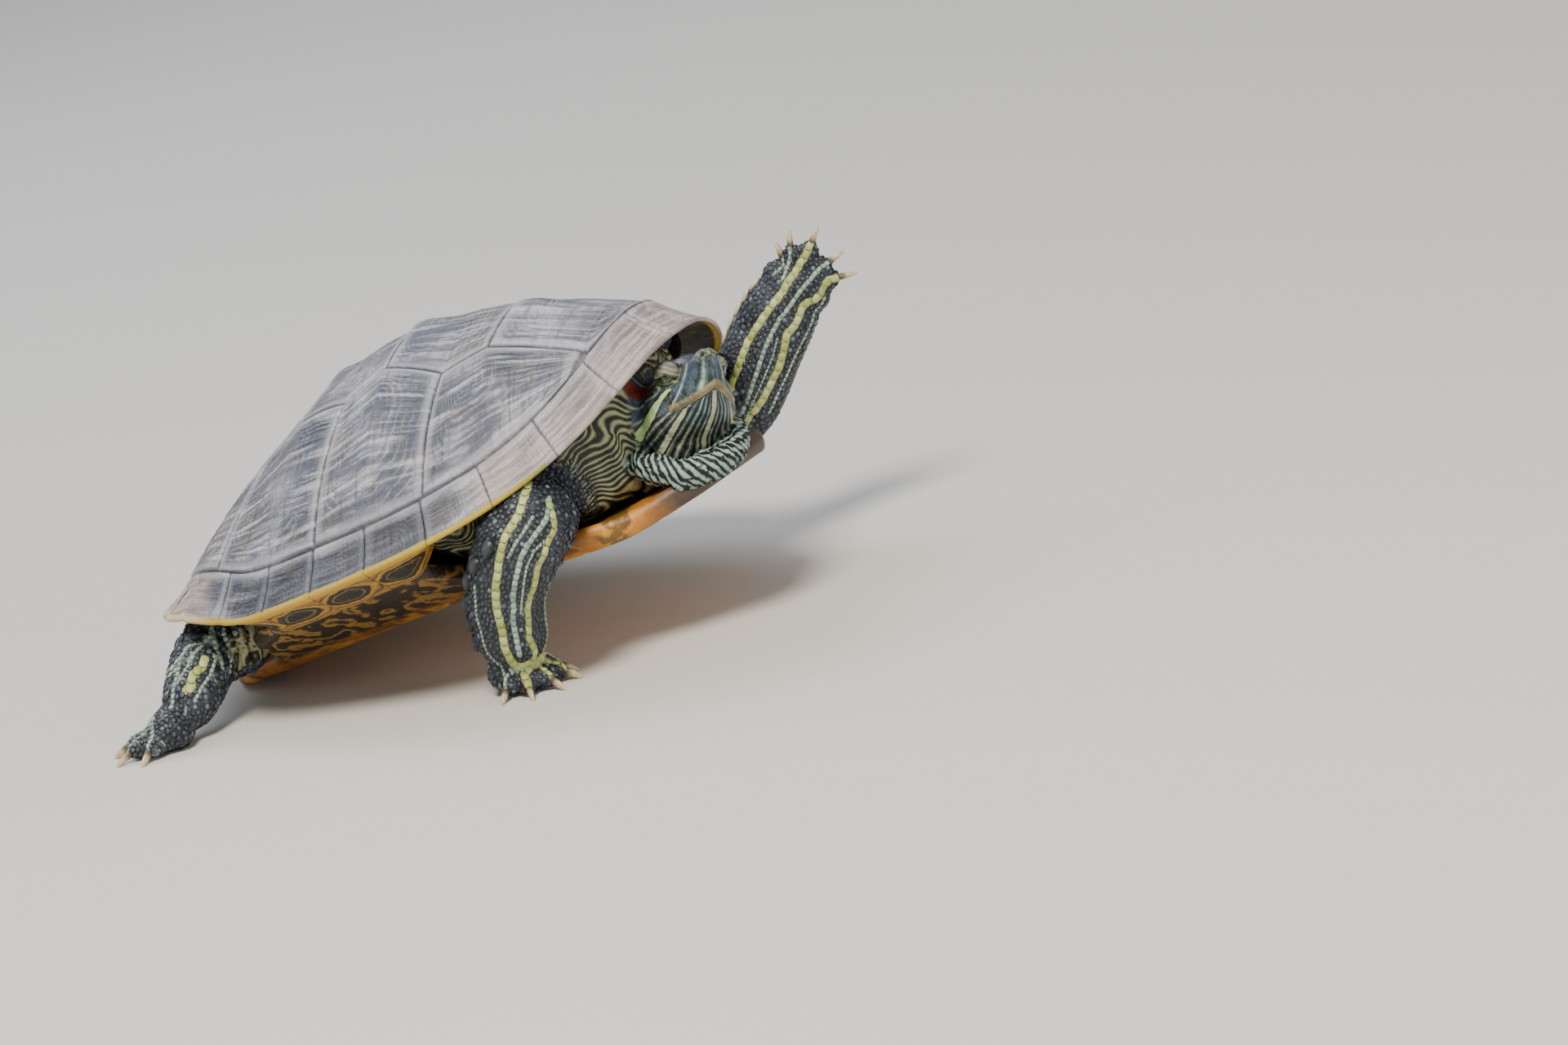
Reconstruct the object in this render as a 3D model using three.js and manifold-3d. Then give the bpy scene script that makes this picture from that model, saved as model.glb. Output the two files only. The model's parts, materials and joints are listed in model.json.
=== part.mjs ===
// Red-eared slider turtle: a still, life-size model of an adult, in millimetres, +Z up.
//
// The animal is laid out in its own body frame: +X towards the head, +Y to its left, +Z up
// from the plane of the shell's rim. The whole body is then pitched nose-up and set down so
// that its feet and the rear of the plastron share one level floor.
import * as THREE from 'three';
import { mergeVertices } from 'three/addons/utils/BufferGeometryUtils.js';
import Module from 'manifold-3d';

const wasm = await Module();
wasm.setup();

// ---- Driving dimensions -------------------------------------------------------------------

const GAP = 0.35;                    // parting between neighbouring solids

const STATION_LENGTH = 220;          // stations are shares of this, from the front rim
const REAR_STATION = 0.975;          // so the carapace is 214.5 mm long
const CARAPACE_HALF_WIDTH = 89;
const WIDEST_STATION = 0.56;
const REAR_TAPER = 2.1;
const RIM_LEVEL = -2.8;
const FRONT_RIM_RISE = 25;           // the rim sweeps up over the neck
const REAR_RIM_RISE = 7;
const MARGIN_WIDTH = 13.6;           // marginal scutes, seen from above
const MARGIN_RISE = 11.3;            // their inner edge above the rim
const REAR_MARGIN_RISE = 6;          // flatter there, where the rim flares
const RIM_THICKNESS = 1.6;
const PLATE_DEPTH = 5;               // dome plates, measured straight down
const BRIDGE_DROP = -9;              // underside of the marginals over the bridge
const FREE_LIP = 4.5;                // underside of the marginals that overhang freely
const SEAM_STATIONS = [
  0.0016, 0.045, 0.12, 0.21, 0.31, 0.415, 0.515, 0.61, 0.705, 0.8, 0.88, 0.94, REAR_STATION,
];

const KEEL = [
  [-92, 12], [-73, 22.5], [-52, 34.5], [-20, 48], [12, 53.5], [46, 50], [72, 43], [97, 33],
];
const VERTEBRAL_SEAMS = [0.067, 0.25, 0.43, 0.61, 0.775, 0.91];
const VERTEBRAL_CORNERS = [0.102, 0.315, 0.495, 0.68, 0.88];
const VERTEBRAL_SEAM_HALF = 23;
const VERTEBRAL_CORNER_HALVES = [24, 32, 32, 30, 27];
const COSTAL_FEET = [0.115, 0.325, 0.515, 0.715, 0.865];

const PLASTRON_FRONT = 108;
const PLASTRON_REAR = -95;
const PLASTRON_LEVEL = -29.5;
const PLASTRON_DEPTH = 5;
const FRONT_LOBE_DEPTH = 7.5;
const BRIDGE_FRONT = 28;
const BRIDGE_REAR = -44;
const BRIDGE_HALF_WIDTH = 74.5;
const LOBE_HALF_WIDTH = 50;
const BRIDGE_TURN = 38;              // where the plastron starts to climb to the marginals
const BRIDGE_CLIMB = 18;
const REST_FLAT = 4.5;               // flat across the plastron's rear edge, on the floor

const DEGREE = Math.PI / 180;
const BODY_PITCH = 13.5 * DEGREE;
const FLOOR_LEVEL = -49.5;           // below the body frame's origin, square to the floor
const REST_SHIFT = [-7, -2, 49.5];   // brings the resting body over the origin of the part

// ---- Small tools --------------------------------------------------------------------------

const clamp = THREE.MathUtils.clamp;
const lerp = THREE.MathUtils.lerp;
const smoothstep = THREE.MathUtils.smoothstep;
const point = (x, y, z) => new THREE.Vector3(x, y, z);

// A smooth curve through [place, value] pairs in rising order of place.
function profile(pairs) {
  const slope = (i) => {
    const low = pairs[Math.max(0, i - 1)];
    const high = pairs[Math.min(pairs.length - 1, i + 1)];
    return (high[1] - low[1]) / (high[0] - low[0]);
  };
  return (place) => {
    const at = clamp(place, pairs[0][0], pairs[pairs.length - 1][0]);
    let i = 0;
    while (i < pairs.length - 2 && at > pairs[i + 1][0]) i += 1;
    const [x0, y0] = pairs[i];
    const [x1, y1] = pairs[i + 1];
    const span = x1 - x0;
    const s = (at - x0) / span;
    const rise = s * s * (3 - 2 * s);
    const start = s * (1 - s) ** 2 * span * slope(i);
    const end = s * s * (s - 1) * span * slope(i + 1);
    return lerp(y0, y1, rise) + start + end;
  };
}

// Straight stretches between [place, value] pairs.
function polyline(pairs) {
  return (place) => {
    const at = clamp(place, pairs[0][0], pairs[pairs.length - 1][0]);
    let i = 0;
    while (i < pairs.length - 2 && at > pairs[i + 1][0]) i += 1;
    const [x0, y0] = pairs[i];
    const [x1, y1] = pairs[i + 1];
    return lerp(y0, y1, (at - x0) / (x1 - x0));
  };
}

// Moves every vertex of a geometry and merges the shared ones into one closed body.
function shaped(geometry, place) {
  const positions = geometry.getAttribute('position');
  const vertex = new THREE.Vector3();
  for (let i = 0; i < positions.count; i += 1) {
    vertex.fromBufferAttribute(positions, i);
    const moved = place(vertex);
    positions.setXYZ(i, moved.x, moved.y, moved.z);
  }
  geometry.deleteAttribute('normal');
  geometry.deleteAttribute('uv');
  return mergeVertices(geometry, 1e-4);
}

function solid(geometry) {
  const vertProperties = new Float32Array(geometry.getAttribute('position').array);
  const triVerts = new Uint32Array(geometry.getIndex().array);
  return new wasm.Manifold(new wasm.Mesh({ numProp: 3, vertProperties, triVerts }));
}

function geometryOf(manifold) {
  const mesh = manifold.getMesh();
  const geometry = new THREE.BufferGeometry();
  geometry.setAttribute('position', new THREE.BufferAttribute(new Float32Array(mesh.vertProperties), 3));
  geometry.setIndex(new THREE.BufferAttribute(new Uint32Array(mesh.triVerts), 1));
  return geometry;
}

// ---- Shell surfaces -----------------------------------------------------------------------

// Walks half of the rim: 0 at the nuchal, 1 at the tail. Even steps are nearly even in length.
const stationOf = (walk) => REAR_STATION * (1 - Math.cos(Math.PI * walk)) / 2;
const walkOf = (station) => Math.acos(1 - 2 * station / REAR_STATION) / Math.PI;
const xOf = (station) => STATION_LENGTH * (0.5 - station);

function rimHalfWidth(station) {
  if (station < WIDEST_STATION) {
    return CARAPACE_HALF_WIDTH * Math.sin(Math.PI * station ** 1.195) ** (0.4 - 0.5 * station);
  }
  const behind = (station - WIDEST_STATION) / (REAR_STATION - WIDEST_STATION);
  return CARAPACE_HALF_WIDTH * Math.max(0, 1 - behind ** REAR_TAPER) ** 0.5;
}

const rimHeight = (station) => RIM_LEVEL + FRONT_RIM_RISE * Math.exp(-((station / 0.115) ** 1.15))
  + REAR_RIM_RISE * smoothstep(station, 0.62, 0.83);

function rimPoint(walk) {
  const station = stationOf(walk);
  return point(xOf(station), rimHalfWidth(station), rimHeight(station));
}

// Unit vector in plan, square to the rim and pointing into the shell.
function inward(walk) {
  const reach = 0.012;
  const ahead = rimPoint(Math.min(1, walk + reach));
  const behind = rimPoint(Math.max(0, walk - reach));
  return point(ahead.y - behind.y, behind.x - ahead.x, 0).multiplyScalar(-1).normalize();
}

const marginRise = (station) => lerp(MARGIN_RISE, REAR_MARGIN_RISE, smoothstep(station, 0.72, 0.95));

function innerPoint(walk) {
  const step = inward(walk).multiplyScalar(MARGIN_WIDTH);
  const inner = rimPoint(walk).add(step);
  inner.y = Math.max(0, inner.y);
  inner.z += marginRise(stationOf(walk));
  return inner;
}

const INNER_STEPS = 80;
const innerEdge = [];
for (let i = INNER_STEPS; i >= 0; i -= 1) innerEdge.push(innerPoint(i / INNER_STEPS));
const innerHalfWidth = polyline(innerEdge.map((p) => [p.x, p.y]));
const innerHeight = polyline(innerEdge.map((p) => [p.x, p.z]));
const keelHeight = profile(KEEL);
const domeFall = (s) => 1 - 0.9 * s ** 1.7 - 0.1 * s ** 6;

// Height of the domed top at a place inside the marginals.
function domeHeight(x, y) {
  const share = clamp(Math.abs(y) / Math.max(1, innerHalfWidth(x)), 0, 1);
  return lerp(innerHeight(x), keelHeight(x), domeFall(share));
}

// ---- Shell plates -------------------------------------------------------------------------

// A plate with its outline given by plan(u, v), top on the dome and an even depth below it.
function domePlate(plan, along, across) {
  const length = plan(0, 0.5).distanceTo(plan(1, 0.5));
  const width = plan(0.5, 0).distanceTo(plan(0.5, 1));
  return shaped(new THREE.BoxGeometry(1, 1, 1, along, across, 1), (vertex) => {
    const u = lerp(GAP / 2 / length, 1 - GAP / 2 / length, vertex.x + 0.5);
    const v = lerp(GAP / 2 / width, 1 - GAP / 2 / width, vertex.y + 0.5);
    const place = plan(u, v);
    const depth = vertex.z > 0 ? 0 : PLATE_DEPTH;
    return point(place.x, place.y, domeHeight(place.x, place.y) - depth);
  });
}

// Half-width of the vertebral row, in straight runs between its seams and side corners.
const vertebralKnots = [];
for (let i = 0; i < 5; i += 1) {
  vertebralKnots.push([VERTEBRAL_SEAMS[i], VERTEBRAL_SEAM_HALF]);
  vertebralKnots.push([VERTEBRAL_CORNERS[i], VERTEBRAL_CORNER_HALVES[i]]);
}
const vertebralHalf = polyline(vertebralKnots);
const END_CLEARANCE = 1.2;           // where the row meets the marginals head-on

function vertebralPlan(number) {
  const stations = [VERTEBRAL_SEAMS[number - 1], VERTEBRAL_CORNERS[number - 1], VERTEBRAL_SEAMS[number]];
  const stationAt = polyline([[0, stations[0]], [0.5, stations[1]], [1, stations[2]]]);
  return (u, v) => {
    const station = stationAt(u);
    const x = xOf(station);
    const half = Math.min(vertebralHalf(station), innerHalfWidth(x) - END_CLEARANCE);
    return point(x, (1 - 2 * v) * half, 0);
  };
}

function costalPlan(number, side) {
  const top = polyline([
    [0, VERTEBRAL_CORNERS[number - 1]],
    [0.5, VERTEBRAL_SEAMS[number]],
    [1, VERTEBRAL_CORNERS[number]],
  ]);
  const foot = polyline([[0, COSTAL_FEET[number - 1]], [1, COSTAL_FEET[number]]]);
  return (u, v) => {
    const across = side > 0 ? 1 - v : v;
    const station = lerp(top(u), foot(u), across);
    const x = xOf(station);
    const inner = Math.min(vertebralHalf(top(u)), innerHalfWidth(xOf(top(u))) - 3);
    const outer = innerHalfWidth(xOf(foot(u))) - GAP;
    return point(x, side * lerp(inner, outer, across), 0);
  };
}

// Drop of the marginals' underside: deep over the bridge, a thin lip elsewhere.
const underDrop = (station) => lerp(FREE_LIP, BRIDGE_DROP,
  smoothstep(station, 0.27, 0.37) - smoothstep(station, 0.62, 0.75));

function marginalPlate(startWalk, endWalk, side, along) {
  const length = rimPoint(startWalk).distanceTo(rimPoint(endWalk));
  return shaped(new THREE.BoxGeometry(1, 1, 1, along, 2, 1), (vertex) => {
    const u = lerp(GAP / 2 / length, 1 - GAP / 2 / length, vertex.x + 0.5);
    const walk = lerp(startWalk, endWalk, u);
    const across = side > 0 ? vertex.y + 0.5 : 0.5 - vertex.y;
    const rim = rimPoint(walk);
    const inner = innerPoint(walk);
    const place = rim.clone().lerp(inner, across);
    if (vertex.z < 0) place.z = rim.z - RIM_THICKNESS + across * underDrop(stationOf(walk));
    return point(place.x, side * place.y, place.z);
  });
}

// The nuchal crosses the midline, so its walk runs from the right seam to the left one.
function nuchalPlate() {
  const reach = walkOf(SEAM_STATIONS[0]);
  return shaped(new THREE.BoxGeometry(1, 1, 1, 2, 2, 1), (vertex) => {
    const across = vertex.y + 0.5;
    const swing = vertex.x * 2 * (1 - GAP / 2 / rimHalfWidth(SEAM_STATIONS[0]));
    const walk = reach * Math.abs(swing);
    const rim = rimPoint(walk);
    const inner = innerPoint(walk);
    const place = rim.clone().lerp(inner, across);
    if (vertex.z < 0) place.z = rim.z - RIM_THICKNESS + across * FREE_LIP;
    return point(place.x, Math.sign(swing) * place.y, place.z);
  });
}

// ---- Plastron and trunk -------------------------------------------------------------------

// Height of the floor in the pitched body frame.
const floorHeight = (x) => (FLOOR_LEVEL - x * Math.sin(BODY_PITCH)) / Math.cos(BODY_PITCH);

const plastronHalf = profile([
  [PLASTRON_REAR, 12], [-88, 31], [-75, 42], [BRIDGE_REAR - 10, LOBE_HALF_WIDTH], [BRIDGE_REAR, 72],
  [-20, BRIDGE_HALF_WIDTH], [15, BRIDGE_HALF_WIDTH], [BRIDGE_FRONT, 71], [BRIDGE_FRONT + 11, LOBE_HALF_WIDTH],
  [70, 47], [88, 37], [102, 26], [PLASTRON_FRONT, 17],
]);
const plastronLevel = profile([
  [PLASTRON_REAR, PLASTRON_LEVEL], [50, PLASTRON_LEVEL], [85, -30], [PLASTRON_FRONT, -27],
]);
const plastronDepth = (x) => lerp(PLASTRON_DEPTH, FRONT_LOBE_DEPTH, smoothstep(x, 45, 80));

function plastronFloor(x, y) {
  const share = clamp((Math.abs(y) - BRIDGE_TURN) / (BRIDGE_HALF_WIDTH - BRIDGE_TURN), 0, 1);
  return plastronLevel(x) + BRIDGE_CLIMB * share ** 1.2;
}

// Its hindmost row of faces lies on the floor.
function plastronGeometry(grow) {
  const rows = 14;
  const rowPlace = polyline([
    [0, PLASTRON_REAR - grow], [1 / rows, PLASTRON_REAR + REST_FLAT], [1, PLASTRON_FRONT + grow],
  ]);
  return shaped(new THREE.BoxGeometry(1, 1, 1, rows, 8, 1), (vertex) => {
    const x = rowPlace(vertex.x + 0.5);
    const room = Math.max(LOBE_HALF_WIDTH, innerHalfWidth(x) - GAP);
    const y = 2 * vertex.y * (Math.min(plastronHalf(x), room) + grow);
    const low = plastronFloor(x, y);
    const z = vertex.z > 0 ? low + plastronDepth(x) + grow : Math.max(low - grow, floorHeight(x));
    return point(x, y, z);
  });
}

const TRUNK_REAR = -89;
const TRUNK_FRONT = 86;
const trunkHalf = profile([
  [TRUNK_REAR, 20], [-70, 40], [-55, 52], [-40, 70], [0, 80],
  [30, 73], [45, 60], [60, 46], [74, 40], [TRUNK_FRONT, 26],
]);
const TRUNK_CLEARANCE = 1.1;

function trunkGeometry(grow) {
  const middle = (TRUNK_FRONT + TRUNK_REAR) / 2;
  const reach = (TRUNK_FRONT - TRUNK_REAR) / 2 + grow;
  return shaped(new THREE.BoxGeometry(2, 2, 2, 9, 6, 2), (vertex) => {
    const x = middle + reach * vertex.x;
    const half = Math.min(trunkHalf(x), innerHalfWidth(x) - 2) + grow;
    const y = half * vertex.y;
    const roof = domeHeight(x, y) - PLATE_DEPTH - TRUNK_CLEARANCE;
    const bed = plastronFloor(x, y) + plastronDepth(x) + GAP;
    const core = lerp(bed, roof, 0.4);
    const endFullness = Math.sqrt(1 - 0.82 * Math.abs(vertex.x) ** 7);
    const fullness = endFullness * (1 - 0.12 * Math.abs(vertex.y) ** 4);
    const top = lerp(core, roof, fullness) + grow;
    const low = lerp(core, bed, fullness) - grow;
    return point(x, y, lerp(low, top, (vertex.z + 1) / 2));
  });
}

// ---- Flesh --------------------------------------------------------------------------------

// A place above the floor by a rise square to it.
const floorPoint = (x, y, rise) => [x, y, floorHeight(x) + rise / Math.cos(BODY_PITCH)];

// A round-ended limb through stations [x, y, z, radius], thicker by grow all over.
// Broad widens it across the thin direction named by normal, as in a palm.
function limb(stations, shape = {}) {
  const { grow = 0, around = 10, along = 9, normal = point(0.2, 0.1, 1), broad = 1 } = shape;
  const places = stations.map(([x, y, z]) => point(x, y, z));
  const path = new THREE.CatmullRomCurve3(places, false, 'centripetal');
  const girth = profile(stations.map((station, i) => [i / (stations.length - 1), station[3]]));
  const length = path.getLength();
  return shaped(new THREE.SphereGeometry(1, around, along), (vertex) => {
    const turn = Math.acos(clamp(vertex.y, -1, 1)) / Math.PI;
    const share = clamp(lerp(turn, (1 - vertex.y) / 2, 0.35), 0, 1);
    const tangent = path.getTangentAt(share);
    const side = tangent.clone().cross(normal).normalize();
    const over = tangent.clone().cross(side);
    const ring = Math.hypot(vertex.x, vertex.z);
    const radius = girth(path.getUtoTmapping(share)) + grow;
    const nearEnd = Math.min(share, 1 - share) * length / radius;
    const cap = nearEnd < 1 ? Math.sqrt(1 - (1 - nearEnd) ** 2) : 1;
    const extension = grow * Math.sign(share - 0.5) * (1 - cap);
    const place = path.getPointAt(share).addScaledVector(tangent, extension);
    if (ring < 1e-6) return place;
    return place
      .addScaledVector(side, radius * broad * cap * vertex.x / ring)
      .addScaledVector(over, radius * cap * vertex.z / ring);
  });
}

// Head, in its own frame: +X out of the snout, +Z through the crown.
const HEAD_ORIGIN = point(122, -13, 4);
const HEAD_FORWARD = point(0.825, -0.442, 0.353);
const HEAD_UP = point(-0.098, 0.503, 0.859);
const HEAD_REAR = -38;
const HEAD_FRONT = 1.5;
const headHalf = profile([
  [HEAD_REAR, 12.8], [-29, 15.4], [-21, 15.6], [-13, 11.9], [-7, 8.9], [-2, 6.2], [HEAD_FRONT, 4],
]);
const headTop = profile([
  [HEAD_REAR, 11], [-29, 14.2], [-20, 15], [-13, 14.2], [-7, 11.6], [-2, 9.2], [HEAD_FRONT, 8],
]);
const headLow = profile([
  [HEAD_REAR, -13.4], [-29, -12.8], [-20, -11], [-10, -8.3], [-3, -5.8], [HEAD_FRONT, -1.6],
]);
const HEAD_SQUARENESS = 2.5;         // 2 would give round sections
const EYE_RADIUS = 4.5;
const EYE_PLACE = [-14, 8.5, 7.4];

const headLeft = HEAD_UP.clone().cross(HEAD_FORWARD).normalize();
const headFrame = new THREE.Matrix4().makeBasis(
  HEAD_FORWARD.clone().normalize(),
  headLeft,
  HEAD_FORWARD.clone().normalize().cross(headLeft),
).setPosition(HEAD_ORIGIN);

function headGeometry(grow) {
  return shaped(new THREE.SphereGeometry(1, 16, 13), (vertex) => {
    const forward = vertex.y;
    const x = lerp(HEAD_REAR - grow, HEAD_FRONT + grow, (forward + 1) / 2);
    const cap = Math.sqrt(Math.max(0, 1 - Math.abs(forward) ** 8));
    const ring = Math.hypot(vertex.x, vertex.z);
    const across = ring < 1e-6 ? 1 : -vertex.x / ring;
    const upright = ring < 1e-6 ? 0 : vertex.z / ring;
    const spread = Math.abs(across) ** HEAD_SQUARENESS + Math.abs(upright) ** HEAD_SQUARENESS;
    const fill = spread ** (-1 / HEAD_SQUARENESS);
    const middle = (headTop(x) + headLow(x)) / 2;
    const tall = (headTop(x) - headLow(x)) / 2 + grow;
    const wide = headHalf(x) + grow;
    return point(x, across * fill * cap * wide, middle + upright * fill * cap * tall)
      .applyMatrix4(headFrame);
  });
}

function eyeGeometry(side, grow) {
  const centre = point(EYE_PLACE[0], side * EYE_PLACE[1], EYE_PLACE[2]);
  return shaped(new THREE.SphereGeometry(EYE_RADIUS + grow, 9, 7), (vertex) => {
    return vertex.clone().add(centre).applyMatrix4(headFrame);
  });
}

const NECK = [[64, 0, -4, 25], [80, 2, -6, 25], [91, 1, -6, 23], [99, -3, -4, 18]];
// Slack skin of the drawn-in neck, bunched in a collar under the jaw, in the head's frame.
const COLLAR = [
  [-30, -18, 0, 5], [-24, -16, -11, 5.5], [-19, -7, -18.5, 6],
  [-19, 3, -18.5, 6], [-23, 12.5, -12, 5.5], [-29, 15, -1, 5],
];
const TAIL = [[-82, 0, -15, 8], [-96, 2, -18.5, 5.4], [-106, 5, -20.5, 3.2], [-114, 9, -22.2, 1]];

const SHOULDER_RIGHT = [60, -42, -9, 15];
const ELBOW_RIGHT = [64, -62, -13, 14.5];
const FOREARM_RIGHT = [49, -64, -28, 12.6];
const WRIST_RIGHT = [38.5, -60.5, -52, 10.5];
const SHOULDER_LEFT = [62, 40, -10, 14];
const ELBOW_LEFT = [75, 60, -16, 10.6];
const FOREARM_LEFT = [88, 70, -3, 10.6];
const WRIST_LEFT = [105, 78.5, 12.5, 9.6];
const HIP_RIGHT = [-60, -40, -11, 14.5];
const KNEE_RIGHT = [-69, -62, -12, 11.5];
const SHIN_RIGHT = [-70, -77, -19, 9.8];
const HIP_LEFT = [-58, 40, -11, 14.5];
const KNEE_LEFT = [-55, 66, -11, 11.5];
const SHIN_LEFT = [-49, 82, -22, 9.8];

const FOREFOOT = {
  toeAngles: [-72, -38, -5, 30, 64], reach: [15.5, 17.5, 18, 17, 15.5], toe: 3.6, palm: 7.6,
};
const HINDFOOT = { toeAngles: [-48, -18, 12, 42], reach: [17, 20, 20, 17], toe: 3.6, palm: 7 };
const CLAW_TIP = 0.7;

const floorNormal = point(Math.sin(BODY_PITCH), 0, Math.cos(BODY_PITCH));

// A foot flat on the floor: a low palm and a fan of toes that end in claws.
function standingFoot(shape, centre, heading) {
  const [x, y] = centre;
  const back = [x - 7 * Math.cos(heading), y - 7 * Math.sin(heading)];
  const palm = [
    [...floorPoint(back[0], back[1], shape.palm + 2.5), shape.palm],
    [...floorPoint(x, y, shape.palm - 0.5), shape.palm],
    [...floorPoint(x + 9.5 * Math.cos(heading), y + 9.5 * Math.sin(heading), 3.5), shape.palm - 3],
  ];
  const toes = shape.toeAngles.map((angle, i) => {
    const turn = heading + angle * DEGREE;
    const out = (share, rise, radius) => {
      const reach = share * shape.reach[i];
      return [...floorPoint(x + reach * Math.cos(turn), y + reach * Math.sin(turn), rise), radius];
    };
    return [
      out(0.1, 5.5, shape.toe), out(0.6, 3.8, shape.toe - 0.5), out(0.8, 2.2, 2), out(1.05, 0.8, CLAW_TIP),
    ];
  });
  return { palm, toes, normal: floorNormal, broad: 1.55 };
}

// The raised hand presses forward, its toes spread from the palm.
const RAISED_PALM = [[99, 76, 6, 7.5], [106, 78.5, 12, 8], [111.5, 79.5, 16.5, 6]];
const RAISED_NORMAL = point(0.3, -0.95, 0.05);
const RAISED_TIPS = [
  [106.3, 76, 24.6], [111.6, 77, 27.3], [119.7, 80, 25], [121.5, 83, 14.7], [120.8, 86, 7],
];

function raisedFoot() {
  const root = point(105, 78, 11);
  const toes = RAISED_TIPS.map((tip) => {
    const out = (share, radius) => [...root.clone().lerp(point(...tip), share).toArray(), radius];
    return [out(0.3, 3.6), out(0.65, 3.1), out(0.8, 2), out(1, CLAW_TIP)];
  });
  return { palm: RAISED_PALM, toes, normal: RAISED_NORMAL, broad: 1.5 };
}

const FLOOR_BLOCK = 60;
const underFloor = solid(shaped(new THREE.BoxGeometry(400, 400, FLOOR_BLOCK), (vertex) => {
  return vertex.clone()
    .add(point(0, 0, FLOOR_LEVEL - FLOOR_BLOCK / 2))
    .applyAxisAngle(point(0, 1, 0), BODY_PITCH);
}));

function footSolid({ palm, toes, normal, broad }) {
  const base = solid(limb(palm, { around: 9, along: 6, normal, broad }));
  const toeShape = { around: 5, along: 4 };
  return toes.reduce((foot, toe) => foot.add(solid(limb(toe, toeShape))), base).subtract(underFloor);
}

// ---- The named pieces ---------------------------------------------------------------------

const colours = {
  scute: { color: 0x6d6a64, roughness: 0.55 },
  plastron: { color: 0xc98a2e, roughness: 0.5 },
  skin: { color: 0x2c3a34, roughness: 0.7 },
  eye: { color: 0x1d2a18, roughness: 0.15 },
};

const body = new THREE.Group();
function piece(name, geometry, finish) {
  const material = new THREE.MeshStandardMaterial({ ...colours[finish], metalness: 0 });
  const mesh = new THREE.Mesh(geometry, material);
  mesh.name = name;
  body.add(mesh);
}

const sides = [['right', -1], ['left', 1]];

piece('nuchal', nuchalPlate(), 'scute');
sides.forEach(([label, side]) => {
  for (let i = 1; i <= 12; i += 1) {
    const last = i === 12 ? 0.9995 : walkOf(SEAM_STATIONS[i]);
    piece(`marginal_${label}_${i}`, marginalPlate(walkOf(SEAM_STATIONS[i - 1]), last, side, 3), 'scute');
  }
  for (let i = 1; i <= 4; i += 1) {
    piece(`costal_${label}_${i}`, domePlate(costalPlan(i, side), 6, 4), 'scute');
  }
});
for (let i = 1; i <= 5; i += 1) piece(`vertebral_${i}`, domePlate(vertebralPlan(i), 4, 4), 'scute');

piece('plastron', plastronGeometry(0), 'plastron');

// Flesh keeps clear of the shell: the marginal band and the plastron, each a gap larger.
const shellBand = sides.map(([, side]) => {
  const band = solid(marginalPlate(0.0001, 0.9999, side, 24));
  return band.add(band.translate([0, 0, -GAP])).add(band.translate([0, -side * 2 * GAP, 0]));
});
const PLASTRON_CLEARANCE = 3 * GAP;
const keepOut = shellBand.reduce((all, band) => all.add(band), solid(plastronGeometry(PLASTRON_CLEARANCE)));

const trunkSolid = solid(trunkGeometry(0)).subtract(keepOut);
const trunkSpace = solid(trunkGeometry(GAP));
const eyeSockets = solid(eyeGeometry(1, GAP)).add(solid(eyeGeometry(-1, GAP)));
const headSpace = solid(headGeometry(GAP));
const outside = (flesh) => flesh.subtract(trunkSpace).subtract(keepOut).subtract(underFloor);

piece('trunk', geometryOf(trunkSolid), 'skin');
const collar = limb(COLLAR, { around: 6, along: 9 }).applyMatrix4(headFrame);
const neckSolid = solid(limb(NECK, { around: 12, along: 7 })).add(solid(collar));
piece('neck', geometryOf(outside(neckSolid).subtract(headSpace)), 'skin');
piece('head', geometryOf(solid(headGeometry(0)).subtract(eyeSockets)), 'skin');
sides.forEach(([label, side]) => piece(`eye_${label}`, eyeGeometry(side, 0), 'eye'));

const limbs = [
  ['foreleg', 'forefoot', 'right', [SHOULDER_RIGHT, ELBOW_RIGHT, FOREARM_RIGHT, WRIST_RIGHT],
    standingFoot(FOREFOOT, [37, -59], -0.3)],
  ['foreleg', 'forefoot', 'left', [SHOULDER_LEFT, ELBOW_LEFT, FOREARM_LEFT, WRIST_LEFT], raisedFoot(),
    { normal: RAISED_NORMAL, broad: 1.25 }],
  ['hindleg', 'hindfoot', 'right', [HIP_RIGHT, KNEE_RIGHT, SHIN_RIGHT, [...floorPoint(-72, -88, 6.5), 8]],
    standingFoot(HINDFOOT, [-75, -90], 218 * DEGREE)],
  ['hindleg', 'hindfoot', 'left', [HIP_LEFT, KNEE_LEFT, SHIN_LEFT, [...floorPoint(-40, 91, 6.5), 8]],
    standingFoot(HINDFOOT, [-36, 94], 40 * DEGREE)],
];
limbs.forEach(([legName, footName, label, stations, foot, flatness = {}]) => {
  const leg = outside(solid(limb(stations, flatness)));
  const legSpace = solid(limb(stations, { ...flatness, grow: GAP }));
  piece(`${legName}_${label}`, geometryOf(leg), 'skin');
  piece(`${footName}_${label}`, geometryOf(footSolid(foot).subtract(legSpace)), 'skin');
});
piece('tail', geometryOf(outside(solid(limb(TAIL)))), 'skin');

const turtle = new THREE.Group();
body.rotation.y = -BODY_PITCH;
body.position.set(...REST_SHIFT);
turtle.add(body);

export default turtle;
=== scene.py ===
# %% [markdown]
# # A red-eared slider for a museum case
# This lesson dresses the solids of a life-size turtle: a worn, domed shell of 38 horny plates,
# the plastron under it, and one striped skin over head, neck, legs and tail.
# The solids give sizes and places. Every curve that shapes them is repeated here from the same
# named values, so that a finer surface can be laid exactly where each solid is.

# %% Load the frame
import functools
import itertools
import json
import math

import bmesh
import bpy
import numpy as np
from mathutils import Matrix, Vector
from mathutils.bvhtree import BVHTree

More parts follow.
